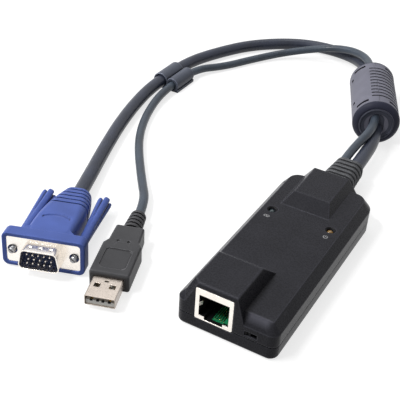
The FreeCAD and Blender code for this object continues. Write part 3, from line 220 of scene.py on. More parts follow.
def edge_share(tree, radius):
    """1 on edges and 0 on faces, by how far a rounded normal leans from the true one, and that normal."""
    rounded = add(tree, "ShaderNodeBevel", {"Radius": radius}, samples=4).outputs["Normal"]
    true = add(tree, "ShaderNodeNewGeometry").outputs["Normal"]
    dot = add(tree, "ShaderNodeVectorMath", {0: rounded, 1: true}, operation="DOT_PRODUCT")
    return span(tree, dot.outputs["Value"], 1.0, 0.0, 0.97, 0.9997), rounded


def unshaded_share(tree, reach):
    """1 on open faces and 0 in the hollow of a groove or a corner, where moulded plastic gets painted shade.
    """
    hidden = add(tree, "ShaderNodeAmbientOcclusion", {"Distance": reach}, samples=6, only_local=True)
    return hidden.outputs["AO"]


def painted_front_highlight(tree, place):
    """1 on the housing's front top edge beside the socket, where a highlight is painted, and 0 elsewhere."""
    along = add(tree, "ShaderNodeSeparateXYZ", {0: place}).outputs
    low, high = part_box("upper_shell")
    right, back, deck = FRONT_HIGHLIGHT_FROM
    shares = [span(tree, along[axis], *ends) for axis, *ends in (
        ("X", 0.0, 1.0, right, right + 0.002),
        ("X", 1.0, 0.0, high[0] - 0.0055, high[0] - 0.0035),
        ("Y", 1.0, 0.0, low[1] + back, low[1] + back + 0.0015),
        ("Z", 0.0, 1.0, deck - 0.003, deck - 0.0003))]
    return math_node(tree, "MULTIPLY", math_node(tree, "MULTIPLY", *shares[:2]),
                     math_node(tree, "MULTIPLY", *shares[2:]))


def moulded_plastic(name, colour, grain=0.0003, depth=0.00001, roughness=0.5, edge=0.00035, wear_and_highlight=1.5,
                    specular=0.2, reach=0.0012, groove_shade=0.35, speckle=1.45, front=False, groove=(0.35, 0.85)):
    """Moulded plastic: fine grain, a faint cloudy tone, edges lightened partly as wear and partly as a
    painted highlight, and painted shade darkening its grooves.
    """
    tree, main, place = shader(name)
    fine = noise(tree, place, grain)
    share, normal = edge_share(tree, edge)
    tone = toned(tree, noise(tree, place, 0.012), colour, 0.88, 1.12)
    speck = mixed(tree, span(tree, fine, 0.0, 0.35, 0.45, 0.75), tone, scaled(colour, speckle))
    unshaded = unshaded_share(tree, reach)
    # Convex edges are lightened, partly as wear and partly as a painted highlight, and not in concave
    # corners.
    worn_and_lit = math_node(tree, "MULTIPLY", share, span(tree, unshaded, 0.0, 1.0, 0.7, 0.95))
    faces = mixed(tree, worn_and_lit, speck, scaled(colour, wear_and_highlight))
    # Where front is set, a painted highlight lightens the housing's front top edge.
    if front:
        faces = mixed(tree, painted_front_highlight(tree, place), faces, scaled(colour, FRONT_HIGHLIGHT_TONE))
    fill(tree, main, {
        # Painted shade: grooves and corners, where the occlusion is low, are darkened to a share of the
        # colour.
        "Base Color": mixed(tree, span(tree, unshaded, 0.0, 1.0, *groove), scaled(colour, groove_shade), faces),
        "Roughness": span(tree, fine, roughness - 0.07, roughness + 0.08),
        "Normal": bump(tree, fine, depth, 0.6, normal),
        "Specular IOR Level": specular})


def plated_metal(name, colour, roughness, edge=0.0002):
    """Plated sheet or turned metal: uneven polish, faint marks and brighter edges."""
    tree, main, place = shader(name)
    lines = noise(tree, place, 0.0004)
    share, normal = edge_share(tree, edge)
    tone = toned(tree, noise(tree, place, 0.004, 3.0), colour, 0.95, 1.04)
    fill(tree, main, {
        "Base Color": mixed(tree, share, tone, scaled(colour, 1.12)),
        "Roughness": span(tree, lines, roughness - 0.06, roughness + 0.1),
        "Normal": bump(tree, lines, 0.000006, 0.35, normal),
        "Metallic": 1.0})


def clear_lens(name, colour):
    """A lamp's tinted clear moulding, with faint flow marks inside."""
    tree, main, place = shader(name)
    fill(tree, main, {
        "Base Color": toned(tree, noise(tree, place, 0.0012), colour, 0.75, 1.25),
        "Roughness": 0.12, "Transmission Weight": 0.35, "IOR": 1.49})


def solder_mask(name):
    """A green board: copper runs under the mask, in a faint grid."""
    tree, main, place = shader(name)
    cells = add(tree, "ShaderNodeTexBrick", {
        "Vector": place, "Scale": 300.0, "Mortar Size": 0.03, "Mortar": (0.03, 0.4, 0.17, 1),
        "Color1": (0.01, 0.2, 0.08, 1), "Color2": (0.012, 0.26, 0.1, 1)})
    fill(tree, main, {
        "Base Color": cells.outputs["Color"],
        "Roughness": span(tree, noise(tree, place, 0.0008), 0.22, 0.4)})


def cord_jacket(name, colour):
    """A soft jacket: satin, with faint scuffs and an uneven surface."""
    tree, main, place = shader(name)
    soft, fine = noise(tree, place, 0.009, 3.0), noise(tree, place, 0.0007, 3.0)
    scuffs = span(tree, fine, 0.0, 0.5, 0.55, 0.8)
    fill(tree, main, {
        "Base Color": mixed(tree, scuffs, toned(tree, soft, colour, 0.8, 1.2), scaled(colour, 1.6)),
        "Roughness": span(tree, soft, 0.29, 0.46),
        "Normal": bump(tree, fine, 0.00003, 0.35),
        "Specular IOR Level": 0.35})


def sintered(name):
    """The ferrite core: dark, matt and faintly gritty."""
    tree, main, place = shader(name)
    grit = noise(tree, place, 0.0005, 4.0)
    fill(tree, main, {
        "Base Color": mixed(tree, span(tree, grit, 0.0, 1.0), (0.016, 0.016, 0.022), (0.04, 0.04, 0.052)),
        "Roughness": span(tree, grit, 0.55, 0.8)})


def make_materials(colours):
    """One finish for each slot of the record, and a few for single pieces."""
    housing, cord = tuple(colours.housing), tuple(colours.cord)
    video, usb = tuple(colours.video), tuple(colours.usb)
    # The housing's finish paints a highlight on its front top edge (front=True).
    moulded_plastic("charcoal_plastic", housing, grain=0.0005, depth=0.00003, roughness=0.28, edge=0.0007,
                    wear_and_highlight=3.4, specular=0.08, reach=0.002, speckle=2.0, front=True)
    solder_mask("board_green")
    moulded_plastic("chip_black", (0.02, 0.02, 0.022), roughness=0.6, wear_and_highlight=1.3)
    plated_metal("nickel", (0.9, 0.85, 0.79), 0.24)
    plated_metal("sleeve_steel", (0.47, 0.415, 0.37), 0.3)
    plated_metal("steel", (0.3, 0.3, 0.31), 0.3)
    plated_metal("gold", (0.86, 0.62, 0.24), 0.2, edge=0.00008)
    moulded_plastic("black_plastic", (0.008, 0.008, 0.009), roughness=0.45, edge=0.0002, specular=0.1)
    moulded_plastic("white_plastic", (0.8, 0.79, 0.75), roughness=0.42, wear_and_highlight=1.08)
    clear_lens("lamp_amber", (0.42, 0.24, 0.07))
    clear_lens("lamp_green", (0.02, 0.05, 0.06))
    moulded_plastic("soft_black", (0.082, 0.084, 0.09), roughness=0.45, edge=0.0005, wear_and_highlight=3.0, specular=0.12,
                    reach=0.0016, groove_shade=0.12, groove=(0.5, 0.95))
    moulded_plastic("usb_grip", usb, roughness=0.4, edge=0.0004, wear_and_highlight=3.6, specular=0.12, reach=0.0009,
                    groove_shade=0.06, groove=(0.7, 0.97))
    moulded_plastic("video_blue", video, roughness=0.42, edge=0.0004, wear_and_highlight=1.6, specular=0.16, reach=0.0009,
                    groove_shade=0.15, groove=(0.65, 0.96))
    moulded_plastic("insulator_black", (0.01, 0.022, 0.075), roughness=0.4, edge=0.0001, reach=0.0003)
    cord_jacket("cord_grey", cord)
    cord_jacket("usb_cord_grey", tuple(c * f for c, f in zip(cord, (1.55, 1.7, 1.45))))
    moulded_plastic("ferrite_grey", (0.18, 0.18, 0.225), roughness=0.5, edge=0.0003, wear_and_highlight=1.4, specular=0.15,
                    reach=0.0028, groove_shade=0.04, groove=(0.5, 0.93))
    sintered("ferrite_dark")
    # The end bevels' finish is the cover's plastic painted much darker, as painted shade.
    for name, colour in (("ferrite_end_shaded", (0.03, 0.032, 0.052)), ("ferrite_disc", (0.07, 0.075, 0.1))):
        moulded_plastic(name, colour, roughness=0.45, edge=0.0003, wear_and_highlight=1.6, specular=0.12)
    moulded_plastic("clip_grey", (0.085, 0.095, 0.125), roughness=0.4, edge=0.0004, wear_and_highlight=3.0, specular=0.2,
                    groove_shade=0.15, groove=(0.5, 0.9))
    moulded_plastic("mark_grey", (0.45, 0.45, 0.46), roughness=0.6, edge=0.00005, wear_and_highlight=1.0)


# Pieces: places, bodies and plain meshes

def at(x, y, z):
    return Matrix.Translation((x, y, z))


def turn(axis, degrees):
    return Matrix.Rotation(math.radians(degrees), 4, axis)


def place_of(name):
    """The matrix, in metres, of a plug, the ferrite or the clip."""
    x, y, z, yaw, pitch = PLACES[name]
    return Matrix.Translation(Vector((x, y, z)) * MM) @ turn("Z", yaw) @ turn("X", pitch)


def linked(name, data):
    made = bpy.data.objects.new(name, data)
    bpy.context.scene.collection.objects.link(made)
    return made


def settled(made, finish, node=None):
    """Gives a piece its finish and body, and hides the solid it stands for, if any."""
    made.data.materials.clear()
    made.data.materials.append(MATERIALS[finish])
    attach(made, BODY_OF[node] if node else "adapter")
    if node:
        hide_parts(node)


def smooth(made, angle=35.0):
    """Smooth faces, with edges that stay sharp above an angle in degrees."""
    for face in made.data.polygons:
        face.use_smooth = True
    made.data.set_sharp_from_angle(angle=math.radians(angle))
    return made


def flattened(made):
    """Makes what an object's modifiers give its own mesh, and takes them off."""
    graph = bpy.context.evaluated_depsgraph_get()
    mesh = bpy.data.meshes.new_from_object(made.evaluated_get(graph), preserve_all_data_layers=True,
                                           depsgraph=graph)
    made.modifiers.clear()
    made.data = mesh
    return made


def as_mesh(shape, name, outwards=True):
    """A finished shape as a mesh, with its faces turned outwards where they may not be."""
    if outwards:
        bmesh.ops.recalc_face_normals(shape, faces=shape.faces)
    mesh = bpy.data.meshes.new(name)
    shape.to_mesh(mesh)
    shape.free()
    return mesh


def joined(meshes):
    """Meshes with their places, given as (mesh, matrix), made one."""
    whole = bmesh.new()
    for mesh, place in meshes:
        moved = mesh.copy()
        moved.transform(place)
        whole.from_mesh(moved)
        bpy.data.meshes.remove(moved)
    return as_mesh(whole, "joined", outwards=False)


def outer_edges(shape, surface, chosen):
    """Sharp convex edges that face open air, of those whose middles the chosen test takes."""
    found = []
    for edge in shape.edges:
        if len(edge.link_faces) != 2 or not edge.is_convex or edge.calc_face_angle() < SHARP_ANGLE:
            continue
        middle = (edge.verts[0].co + edge.verts[1].co) / 2
        out = (edge.link_faces[0].normal + edge.link_faces[1].normal).normalized()
        free = surface.ray_cast(middle + out * OPEN_AIR, out)[0] is None
        if free and (chosen is None or chosen(middle)):
            found.append(edge)
    return found


def rounded_copy(node, name, width, finish=None, chosen=None):
    """A solid's shape with its sharp outer edges really rounded, in the solid's place."""
    shape = bmesh.new()
    shape.from_mesh(frame["nodes"][node].data)
    bmesh.ops.remove_doubles(shape, verts=shape.verts, dist=0.000001)
    shape.normal_update()
    surface = BVHTree.FromBMesh(shape)
    bmesh.ops.bevel(shape, geom=outer_edges(shape, surface, chosen), offset=width, segments=2, profile=0.5,
                    affect="EDGES", clamp_overlap=False, miter_outer="ARC")
    for vert in shape.verts:
        nearest, _, _, away = surface.find_nearest(vert.co)
        if away > width:
            vert.co = nearest
    made = smooth(linked(name, as_mesh(shape, name, outwards=False)), 24.0)
    made.modifiers.new("weights", "WEIGHTED_NORMAL").keep_sharp = True
    settled(flattened(made), finish or SLOTS[node], node)


def off_the_arc(middle):
    """Edges of the hood away from the thin arc on its top."""
    spot = place_of("video").inverted() @ middle
    return not (abs(spot.x) < 0.0068 and 0.0115 < spot.y < 0.0225 and spot.z > 0.003)


# Geometry Nodes trees. Each has named inputs, and ends in Realize Instances and Set Material.

SOCKET_KINDS = {float: "NodeSocketFloat", int: "NodeSocketInt", tuple: "NodeSocketVector"}


def begun(name, sizes):
    """A tree with a geometry, its named sizes and a material as inputs."""
    tree = bpy.data.node_groups.new(name, "GeometryNodeTree")
    tree.interface.new_socket("Geometry", in_out="INPUT", socket_type="NodeSocketGeometry")
    for label, value in sizes.items():
        kind = SOCKET_KINDS[type(value)]
        tree.interface.new_socket(label, in_out="INPUT", socket_type=kind).default_value = value
    tree.interface.new_socket("Material", in_out="INPUT", socket_type="NodeSocketMaterial")
    tree.interface.new_socket("Geometry", in_out="OUTPUT", socket_type="NodeSocketGeometry")
    return tree, tree.nodes.new("NodeGroupInput").outputs


def ended(tree, geometry, given):
    real = add(tree, "GeometryNodeRealizeInstances", {"Geometry": geometry}).outputs[0]
    painted = add(tree, "GeometryNodeSetMaterial", {"Geometry": real, "Material": given["Material"]})
    tree.links.new(painted.outputs[0], tree.nodes.new("NodeGroupOutput").inputs[0])
    return tree


def points_in_line(tree, count, step):
    return add(tree, "GeometryNodeMeshLine", {"Count": count, "Offset": step}).outputs[0]


def copies_on(tree, points, piece):
    return add(tree, "GeometryNodeInstanceOnPoints", {"Points": points, "Instance": piece}).outputs[0]


def filleted(tree, curve, radius, count):
    return add(tree, "GeometryNodeFilletCurve",
               {"Curve": curve, "Radius": radius, "Count": count, "Limit Radius": True},
               mode="POLY").outputs[0]


def disc_curve(tree, radius, steps):
    return add(tree, "GeometryNodeCurvePrimitiveCircle", {"Resolution": steps, "Radius": radius}).outputs[0]


def swept(tree, curve, section):
    return add(tree, "GeometryNodeCurveToMesh",
               {"Curve": curve, "Profile Curve": section, "Fill Caps": True}).outputs[0]


def row_tree():
    """Repeats a piece in rows: a number of them along one step, and a number of rows along another."""
    tree, given = begun("rows_of_pieces", {"Count": 5, "Step": (0.001, 0.0, 0.0), "Rows": 1,
                                           "Row step": (0.0, 0.001, 0.0), "Middle shift": (0.0, 0.0, 0.0)})
    rows = points_in_line(tree, given["Rows"], given["Row step"])
    odd = math_node(tree, "MODULO", add(tree, "GeometryNodeInputIndex").outputs[0], 2.0)
    shift = add(tree, "ShaderNodeVectorMath", {0: given["Middle shift"], "Scale": odd}, operation="SCALE")
    staggered = add(tree, "GeometryNodeSetPosition", {"Geometry": rows, "Offset": shift.outputs[0]})
    row = copies_on(tree, points_in_line(tree, given["Count"], given["Step"]), given["Geometry"])
    return ended(tree, copies_on(tree, staggered.outputs[0], row), given)


def thread_tree():
    """Turns of a thread: a spiral with a pointed section."""
    tree, given = begun("thread_turns", {"Radius": 0.0014, "Pitch": 0.0006, "Turns": 4.0, "Depth": 0.0003})
    height = math_node(tree, "MULTIPLY", given["Pitch"], given["Turns"])
    spiral = add(tree, "GeometryNodeCurveSpiral",
                 {"Resolution": 24, "Rotations": given["Turns"], "Start Radius": given["Radius"],
                  "End Radius": given["Radius"], "Height": height}).outputs[0]
    both = add(tree, "GeometryNodeJoinGeometry")
    for part in (given["Geometry"], swept(tree, spiral, disc_curve(tree, given["Depth"], 4))):
        tree.links.new(part, both.inputs[0])
    return ended(tree, both.outputs[0], given)


def ribs_tree():
    """A ribbed relief along +Y: a rounded section that tapers, with a rounded rib in each step."""
    tree, given = begun("ribbed_relief", {
        "Width": 0.0166, "Thickness": 0.011, "End width": 0.0132, "End thickness": 0.01, "Corner": 0.0046,
        "Length": 0.0262, "Ribs": 8, "Rib share": 0.62, "Rib depth": 0.001, "Neck width": 0.0126,
        "Neck thickness": 0.008, "Neck length": 0.0018})
    start = add(tree, "ShaderNodeCombineXYZ", {"Y": math_node(tree, "MULTIPLY", given["Neck length"], -1.0)})
    end = add(tree, "ShaderNodeCombineXYZ", {"Y": given["Length"]})
    line = add(tree, "GeometryNodeCurvePrimitiveLine", {"Start": start.outputs[0], "End": end.outputs[0]})
    whole = math_node(tree, "ADD", given["Length"], given["Neck length"])
    count = math_node(tree, "ROUND", math_node(tree, "DIVIDE", whole, RELIEF_FINENESS))
    fine = add(tree, "GeometryNodeResampleCurve", {"Curve": line.outputs[0], "Count": count}).outputs[0]
    section = add(tree, "GeometryNodeCurvePrimitiveQuadrilateral",
                  {"Width": given["Width"], "Height": given["Thickness"]}).outputs[0]
    tube = swept(tree, fine, filleted(tree, section, given["Corner"], 8))

    place = add(tree, "ShaderNodeSeparateXYZ", {0: add(tree, "GeometryNodeInputPosition").outputs[0]}).outputs
    along = math_node(tree, "DIVIDE", place["Y"], given["Length"])
    phase = math_node(tree, "FRACT", math_node(tree, "MULTIPLY", along, given["Ribs"]))
    half = math_node(tree, "MULTIPLY", given["Rib share"], 0.5)
    off = math_node(tree, "ABSOLUTE", math_node(tree, "SUBTRACT", phase, half))
    rise = add(tree, "ShaderNodeMapRange",
               {"Value": off, "From Min": math_node(tree, "ADD", half, 0.05),
                "From Max": math_node(tree, "SUBTRACT", half, 0.13), "To Min": 0.0, "To Max": 1.0},
               interpolation_type="SMOOTHSTEP").outputs[0]
    sunk = math_node(tree, "MULTIPLY", math_node(tree, "SUBTRACT", 1.0, rise), given["Rib depth"])
    neck = math_node(tree, "LESS_THAN", place["Y"], -0.00005)

    def spread(axis, wide, narrow, thin):
        """Where a point goes on one axis, as the section here is wider or narrower than at its start."""
        taper = span(tree, along, wide, narrow, 0.0, 1.0)
        ribbed = math_node(tree, "SUBTRACT", taper, math_node(tree, "MULTIPLY", sunk, 2.0))
        size = add(tree, "ShaderNodeMix", {"Factor": neck, "A": ribbed, "B": thin}, data_type="FLOAT")
        return math_node(tree, "MULTIPLY", place[axis], math_node(tree, "DIVIDE", size.outputs[0], wide))

    spot = add(tree, "ShaderNodeCombineXYZ", {
        "X": spread("X", given["Width"], given["End width"], given["Neck width"]),
        "Y": place["Y"],
        "Z": spread("Z", given["Thickness"], given["End thickness"], given["Neck thickness"])})
    shaped = add(tree, "GeometryNodeSetPosition", {"Geometry": tube, "Position": spot.outputs[0]})
    return ended(tree, shaped.outputs[0], given)


def wires_tree():
    """Sprung wires in a row: each follows the given path, with its bends rounded."""
    tree, given = begun("sprung_wires", {"Count": 8, "Step": (WIRE_PITCH, 0.0, 0.0), "Thickness": 0.0004,
                                         "Bend radius": 0.0004})
    path = add(tree, "GeometryNodeMeshToCurve", {"Mesh": given["Geometry"]}).outputs[0]
    section = disc_curve(tree, math_node(tree, "MULTIPLY", given["Thickness"], 0.5), 10)
    wire = swept(tree, filleted(tree, path, given["Bend radius"], 6), section)
    return ended(tree, copies_on(tree, points_in_line(tree, given["Count"], given["Step"]), wire), given)


def grown(name, tree, finish, sizes, piece=None, place=None, node=None, angle=35.0):
    """A piece that a tree makes, as a plain smooth mesh in its place, settled."""
    made = linked(name, piece or bpy.data.meshes.new(name))
    modifier = made.modifiers.new("growth", "NODES")
    modifier.node_group = tree
    values = dict(sizes, Material=MATERIALS[finish])
    for item in tree.interface.items_tree:
        if item.in_out == "INPUT" and item.name in values:
            modifier[item.identifier] = values[item.name]
    flattened(made).data.transform(place)
    settled(smooth(made, angle), finish, node)


def in_rows(name, finish, piece, place, count, step, rows=1, row_step=(0.0, 0.0, 0.0),
            shift=(0.0, 0.0, 0.0), node=None):
    """Copies of a piece in rows, settled as one."""
    sizes = {"Count": count, "Step": step, "Rows": rows, "Row step": row_step, "Middle shift": shift}
    grown(name, row_tree(), finish, sizes, piece, place, node)


# Shapes in mesh code

def circle(radius, steps):
    """Points of a circle, as (cosine, sine) times its radius."""
    return [(radius * math.cos(2 * math.pi * i / steps), radius * math.sin(2 * math.pi * i / steps))
            for i in range(steps)]


def bridged(shape, rings):
    """Faces from each ring of points to the next. A ring of one point closes an end."""
    for low, high in zip(rings, rings[1:]):
        steps = max(len(low), len(high))
        for i in range(steps):
            j = (i + 1) % steps
            corners = (low[i % len(low)], low[j % len(low)], high[j % len(high)], high[i % len(high)])
            shape.faces.new(list(dict.fromkeys(corners)))


def turned(name, outline, steps, loop=False):
    """A solid turned about Y from an outline of (radius, y): a loop, or with both ends on the axis."""
    shape = bmesh.new()
    rings = [[shape.verts.new((x, y, z)) for x, z in circle(radius, steps if radius else 1)]
             for radius, y in outline]
    bridged(shape, rings + rings[:1] if loop else rings)
    return as_mesh(shape, name)


def rectangle(left, right, front, rear):
    return [(left, front), (right, front), (right, rear), (left, rear)]


def prism(name, outline, low, high):
    """A flat outline of (x, y) as a closed plate from low to high."""
    shape = bmesh.new()
    lower, upper = ([shape.verts.new((x, y, z)) for x, y in outline] for z in (low, high))
    shape.faces.new(lower[::-1])
    shape.faces.new(upper)
    bridged(shape, [lower, upper])
    return as_mesh(shape, name)


def band(radius, width, start, end, steps=28):
    """The outline of an arc-shaped stroke round the origin, from start to end degrees."""
    angles = [math.radians(start + (end - start) * i / steps) for i in range(steps + 1)]
    outer, inner = radius + width / 2, radius - width / 2
    return ([(outer * math.cos(a), outer * math.sin(a)) for a in angles]
            + [(inner * math.cos(a), inner * math.sin(a)) for a in reversed(angles)])


# A thumbscrew's grip in mm, from row to row: radius, distance from the plug's face, depth of its grooves
# and how far they notch its end. GRIP_END is the middle of its far end, and the first groove's turn is in
# radians.
GRIP_ROWS = [(2.5, 5.4, 0, 0), (2.9, 5.8, 0, 0), (2.9, 7.6, 0, 0), (2.7, 8.0, 0, 0), (2.15, 9.0, 0, 0),
             (2.1, 10.0, 0, 0), (2.1, 14.0, 0, 0), (2.2, 18.0, 0, 0), (2.35, 22.0, 0.2, 0),
             (2.6, 28.0, 0.55, 0), (2.85, 34.0, 0.9, 0), (3.1, 39.5, 1.25, 0), (3.2, 42.0, 1.4, 0.5),
             (3.15, 43.1, 1.45, 1.2), (2.85, 43.7, 1.4, 1.7), (2.35, 44.0, 1.25, 2.0), (1.7, 43.9, 0.9, 1.9),
             (1.0, 43.2, 0.4, 1.0)]
GRIP_END = 42.3
GRIP_STEPS = 72
GRIP_GROOVES = 4
FIRST_GROOVE = 0.3


def fluted_grip(name):
    """A grip turned about Y, with grooves that deepen and notch its far end."""
    shape = bmesh.new()
    rings = [[shape.verts.new((0, GRIP_ROWS[0][1] * MM, 0))]]
    for radius, y, depth, notch in GRIP_ROWS:
        ring = []
        for i in range(GRIP_STEPS):
            angle = 2 * math.pi * i / GRIP_STEPS
            share = (0.5 + 0.5 * math.cos(GRIP_GROOVES * (angle - FIRST_GROOVE))) ** 4
            away = radius - depth * share
            spot = Vector((away * math.cos(angle), y - notch * share, away * math.sin(angle)))
            ring.append(shape.verts.new(spot * MM))
        rings.append(ring)
    rings.append([shape.verts.new((0, GRIP_END * MM, 0))])
    bridged(shape, rings)
    return as_mesh(shape, name)


def slotted_end(radius, gap, depth):
    """Two half rounds along Y with a slanting slot between them, as (mesh, matrix)."""
    start = math.asin(gap / radius)
    angles = [start + (math.pi - 2 * start) * i / 12 for i in range(13)]
    half = prism("half", [(radius * math.cos(a), radius * math.sin(a)) for a in angles], 0.0, depth)
    return [(half, turn("Y", slant) @ turn("X", -90)) for slant in (35, 215)]


def cross_screw():
    """A pan-headed screw with a cross recess. Its head's face is at z = 0, its shank above it."""
    shape = bmesh.new()
    head, shank, arm, blade, recess = 0.0019, 0.0011, 0.00115, 0.00028, 0.0008
    rings = [[shape.verts.new((x, y, z)) for x, y in circle(radius, 32)]
             for radius, z in ((head - 0.0003, 0.0), (head, 0.0003), (head, 0.0014), (shank, 0.0014),
                               (shank, 0.0096))]
    bridged(shape, rings)
    shape.faces.new(rings[-1])
    quarter = [(arm, -blade), (arm, blade), (blade, blade)]
    outline = [(x * c - y * s, x * s + y * c) for c, s in ((1, 0), (0, 1), (-1, 0), (0, -1))
               for x, y in quarter]
    mouth = [shape.verts.new((x, y, 0.0)) for x, y in outline]
    foot = [shape.verts.new((x * 0.8, y * 0.8, recess)) for x, y in outline]
    bridged(shape, [mouth, foot])
    shape.faces.new(foot)
    rims = [edge for edge in shape.edges if len(edge.link_faces) == 1]
    bmesh.ops.triangle_fill(shape, use_beauty=True, edges=rims)
    return as_mesh(shape, "cross_screw")


def make_cord(name, route, thickness, finish, node):
    """A cord on its route, as a NURBS spline with the route's points as its control points."""
    curve = bpy.data.curves.new(name, "CURVE")
    curve.dimensions = "3D"
    curve.bevel_depth = thickness / 2
    curve.bevel_resolution = 8
    curve.resolution_u = 14
    curve.use_fill_caps = True
    spline = curve.splines.new("NURBS")
    spline.points.add(len(route) - 1)
    for point, spot in zip(spline.points, route):
        point.co = (*spot, 1.0)
    spline.order_u = 3
    spline.use_endpoint_u = True
    made = linked(name, curve)
    settled(made, finish, node)


# Operators, one for each group of pieces

class ADAPTER_OT_housing(bpy.types.Operator):
    """Makes the lower shell with rounded edges, and the screws that hold the two shells"""
    bl_idname = "adapter.housing"
    bl_label = "Housing"

    def execute(self, context):
        rounded_copy("lower_shell", "lower_housing", context.scene.adapter_sizes.edge_round)
        across, along = SCREWS_APART
        in_rows("housing_cross_screws", "steel", cross_screw(), at(-across / 2, -0.0385, 0.001), 2,
                (across, 0.0, 0.0), 2, (0.0, along, 0.0), node="housing_screws")
        return {"FINISHED"}


class ADAPTER_OT_socket(bpy.types.Operator):
    """Makes the network socket's frame and wires, and the board that shows in its mouth"""
    bl_idname = "adapter.socket"
    bl_label = "Network socket"

    def execute(self, context):
        path = bpy.data.meshes.new("wire_path")
        bends = [(-0.0364, 0.01708), (-0.0463, 0.01708), (-0.0466, 0.0166), (-0.0387, 0.013),
                 (-0.0384, 0.0129)]
        path.from_pydata([(0.0, y, z) for y, z in bends], [(i - 1, i) for i in range(1, len(bends))], [])
        grown("socket_wires", wires_tree(), "gold", {"Count": 8, "Step": (WIRE_PITCH, 0.0, 0.0)}, path,
              at(-0.0047 - 3.5 * WIRE_PITCH, 0.0, 0.0), "socket_contacts")
        rounded_copy("socket_shield", "socket_frame", 0.00012)
        low = prism("low", rectangle(-0.0058, -0.00095, -0.0476, -0.037), 0.00608, 0.00645)
        ledge = prism("ledge", rectangle(-0.00085, 0.00135, -0.0482, -0.037), 0.00742, 0.0077)
        settled(linked("mouth_board", joined([(low, Matrix()), (ledge, Matrix())])), "board_green")
        strip = prism("strip", rectangle(0, 0.0004, 0, 0.0085), 0.0, 0.00006)
        in_rows("mouth_tracks", "gold", strip, at(-0.0055, -0.0468, 0.00644), 5, (0.0009, 0.0, 0.0))
        return {"FINISHED"}


class ADAPTER_OT_relief(bpy.types.Operator):
    """Makes the ribbed relief at the housing's rear"""
    bl_idname = "adapter.relief"
    bl_label = "Strain relief"

    def execute(self, context):
        grown("ribbed_strain_relief", ribs_tree(), "soft_black", {}, place=at(-0.001, 0.0492, 0.0085),
              node="strain_relief", angle=50.0)
        return {"FINISHED"}


class ADAPTER_OT_marks(bpy.types.Operator):
    """Prints plain marks beside the two lamps: two links, and a ring with a stroke"""
    bl_idname = "adapter.marks"
    bl_label = "Lamp marks"

    def execute(self, context):
        low, high = MARK_HEIGHTS
        link, ring = band(0.00062, 0.00024, 0, 359.9), band(0.00085, 0.00025, 125, 415)
        stroke = rectangle(-0.00012, 0.00012, 0.0001, 0.0011)
        for name, x, outlines in (("link_mark", -LAMP_X, ((link, -0.00052), (link, 0.00052))),
                                  ("power_mark", LAMP_X, ((ring, 0.0), (stroke, 0.0)))):
            parts = [(prism(name, outline, low, high), at(x + aside, 0.0098, 0.0))
                     for outline, aside in outlines]
            settled(linked(name, joined(parts)), "mark_grey")
        rim = [(0.0016, 0.0001), (0.00162, -0.0001), (0.0021, 0.0003), (0.00212, 0.00052),
               (0.00195, 0.00035)]
        in_rows("lamp_wells", "black_plastic", turned("well", rim, 40, loop=True),
                at(-LAMP_X, 0.0152, 0.01485) @ turn("X", 90), 2, (2 * LAMP_X, 0.0, 0.0))
        return {"FINISHED"}


class ADAPTER_OT_video_plug(bpy.types.Operator):
    """Makes the video plug's hood and pins, and its two thumbscrews, which turn"""
    bl_idname = "adapter.video_plug"
    bl_label = "Video plug"

    def execute(self, context):
        place = place_of("video")
        rounded_copy("video_plug_hood", "video_hood", 0.0003, chosen=off_the_arc)
        pin = turned("pin", [(0, -0.0052), (0.00018, -0.00515), (0.00034, -0.0049), (0.00039, -0.0045),
                             (0.00039, 0.0039), (0, 0.0039)], 14)
        in_rows("video_pins", "nickel", pin, place @ at(-2.125 * PIN_PITCH, 0.0, -PIN_ROW), 5,
                (PIN_PITCH, 0.0, 0.0), 3, (0.0, 0.0, PIN_ROW), (PIN_PITCH / 4, 0.0, 0.0),
                node="video_plug_pins")
        upright = turn("X", -90)
        for side, x in (("left", -THUMB_X), ("right", THUMB_X)):
            grip = fluted_grip(side + "_fluted_knob")
            grip.transform(place @ at(x, 0.0, 0.0))
            settled(smooth(linked(side + "_fluted_knob", grip), 50.0), "video_blue", side + "_thumb_knob")
            core = turned("core", [(0, 0.0007), (0.00115, 0.0007), (0.00115, 0.0028), (0.0014, 0.003),
                                   (0.0014, 0.0216), (0, 0.0216)], 24)
            core = joined([(core, Matrix())] + slotted_end(0.00118, 0.00024, 0.0009))
            core.transform(upright.inverted())
            grown(side + "_threaded_screw", thread_tree(), "steel",
                  {"Radius": 0.00115, "Pitch": 0.0006, "Turns": 4.0, "Depth": 0.00026}, core,
                  place @ at(x, -0.0016, 0.0) @ upright, side + "_thumb_screw")
        return {"FINISHED"}


class ADAPTER_OT_usb_plug(bpy.types.Operator):
    """Makes the USB plug's grip with rounded edges, its bright shell, and black blocks in its mouth that are
    painted shade in the gap
    """
    bl_idname = "adapter.usb_plug"
    bl_label = "USB plug"

    def execute(self, context):
        rounded_copy("usb_plug_overmould", "usb_grip", 0.0003, "usb_grip")
        rounded_copy("usb_plug_shell", "usb_sleeve", 0.00008, "sleeve_steel")
        # Black blocks in the mouth stand for the shade in the mouth's gap.
        shade_block = prism("shade_block", rectangle(-0.00055, 0.00055, 0.00055, 0.0012), -0.0005, 0.00012)
        in_rows("usb_mouth_shade_blocks", "black_plastic", shade_block, place_of("usb") @ at(-0.0035, 0.0, 0.0), 2,
                (0.0025, 0.0, 0.0), 2, (0.0045, 0.0, 0.0))
        return {"FINISHED"}


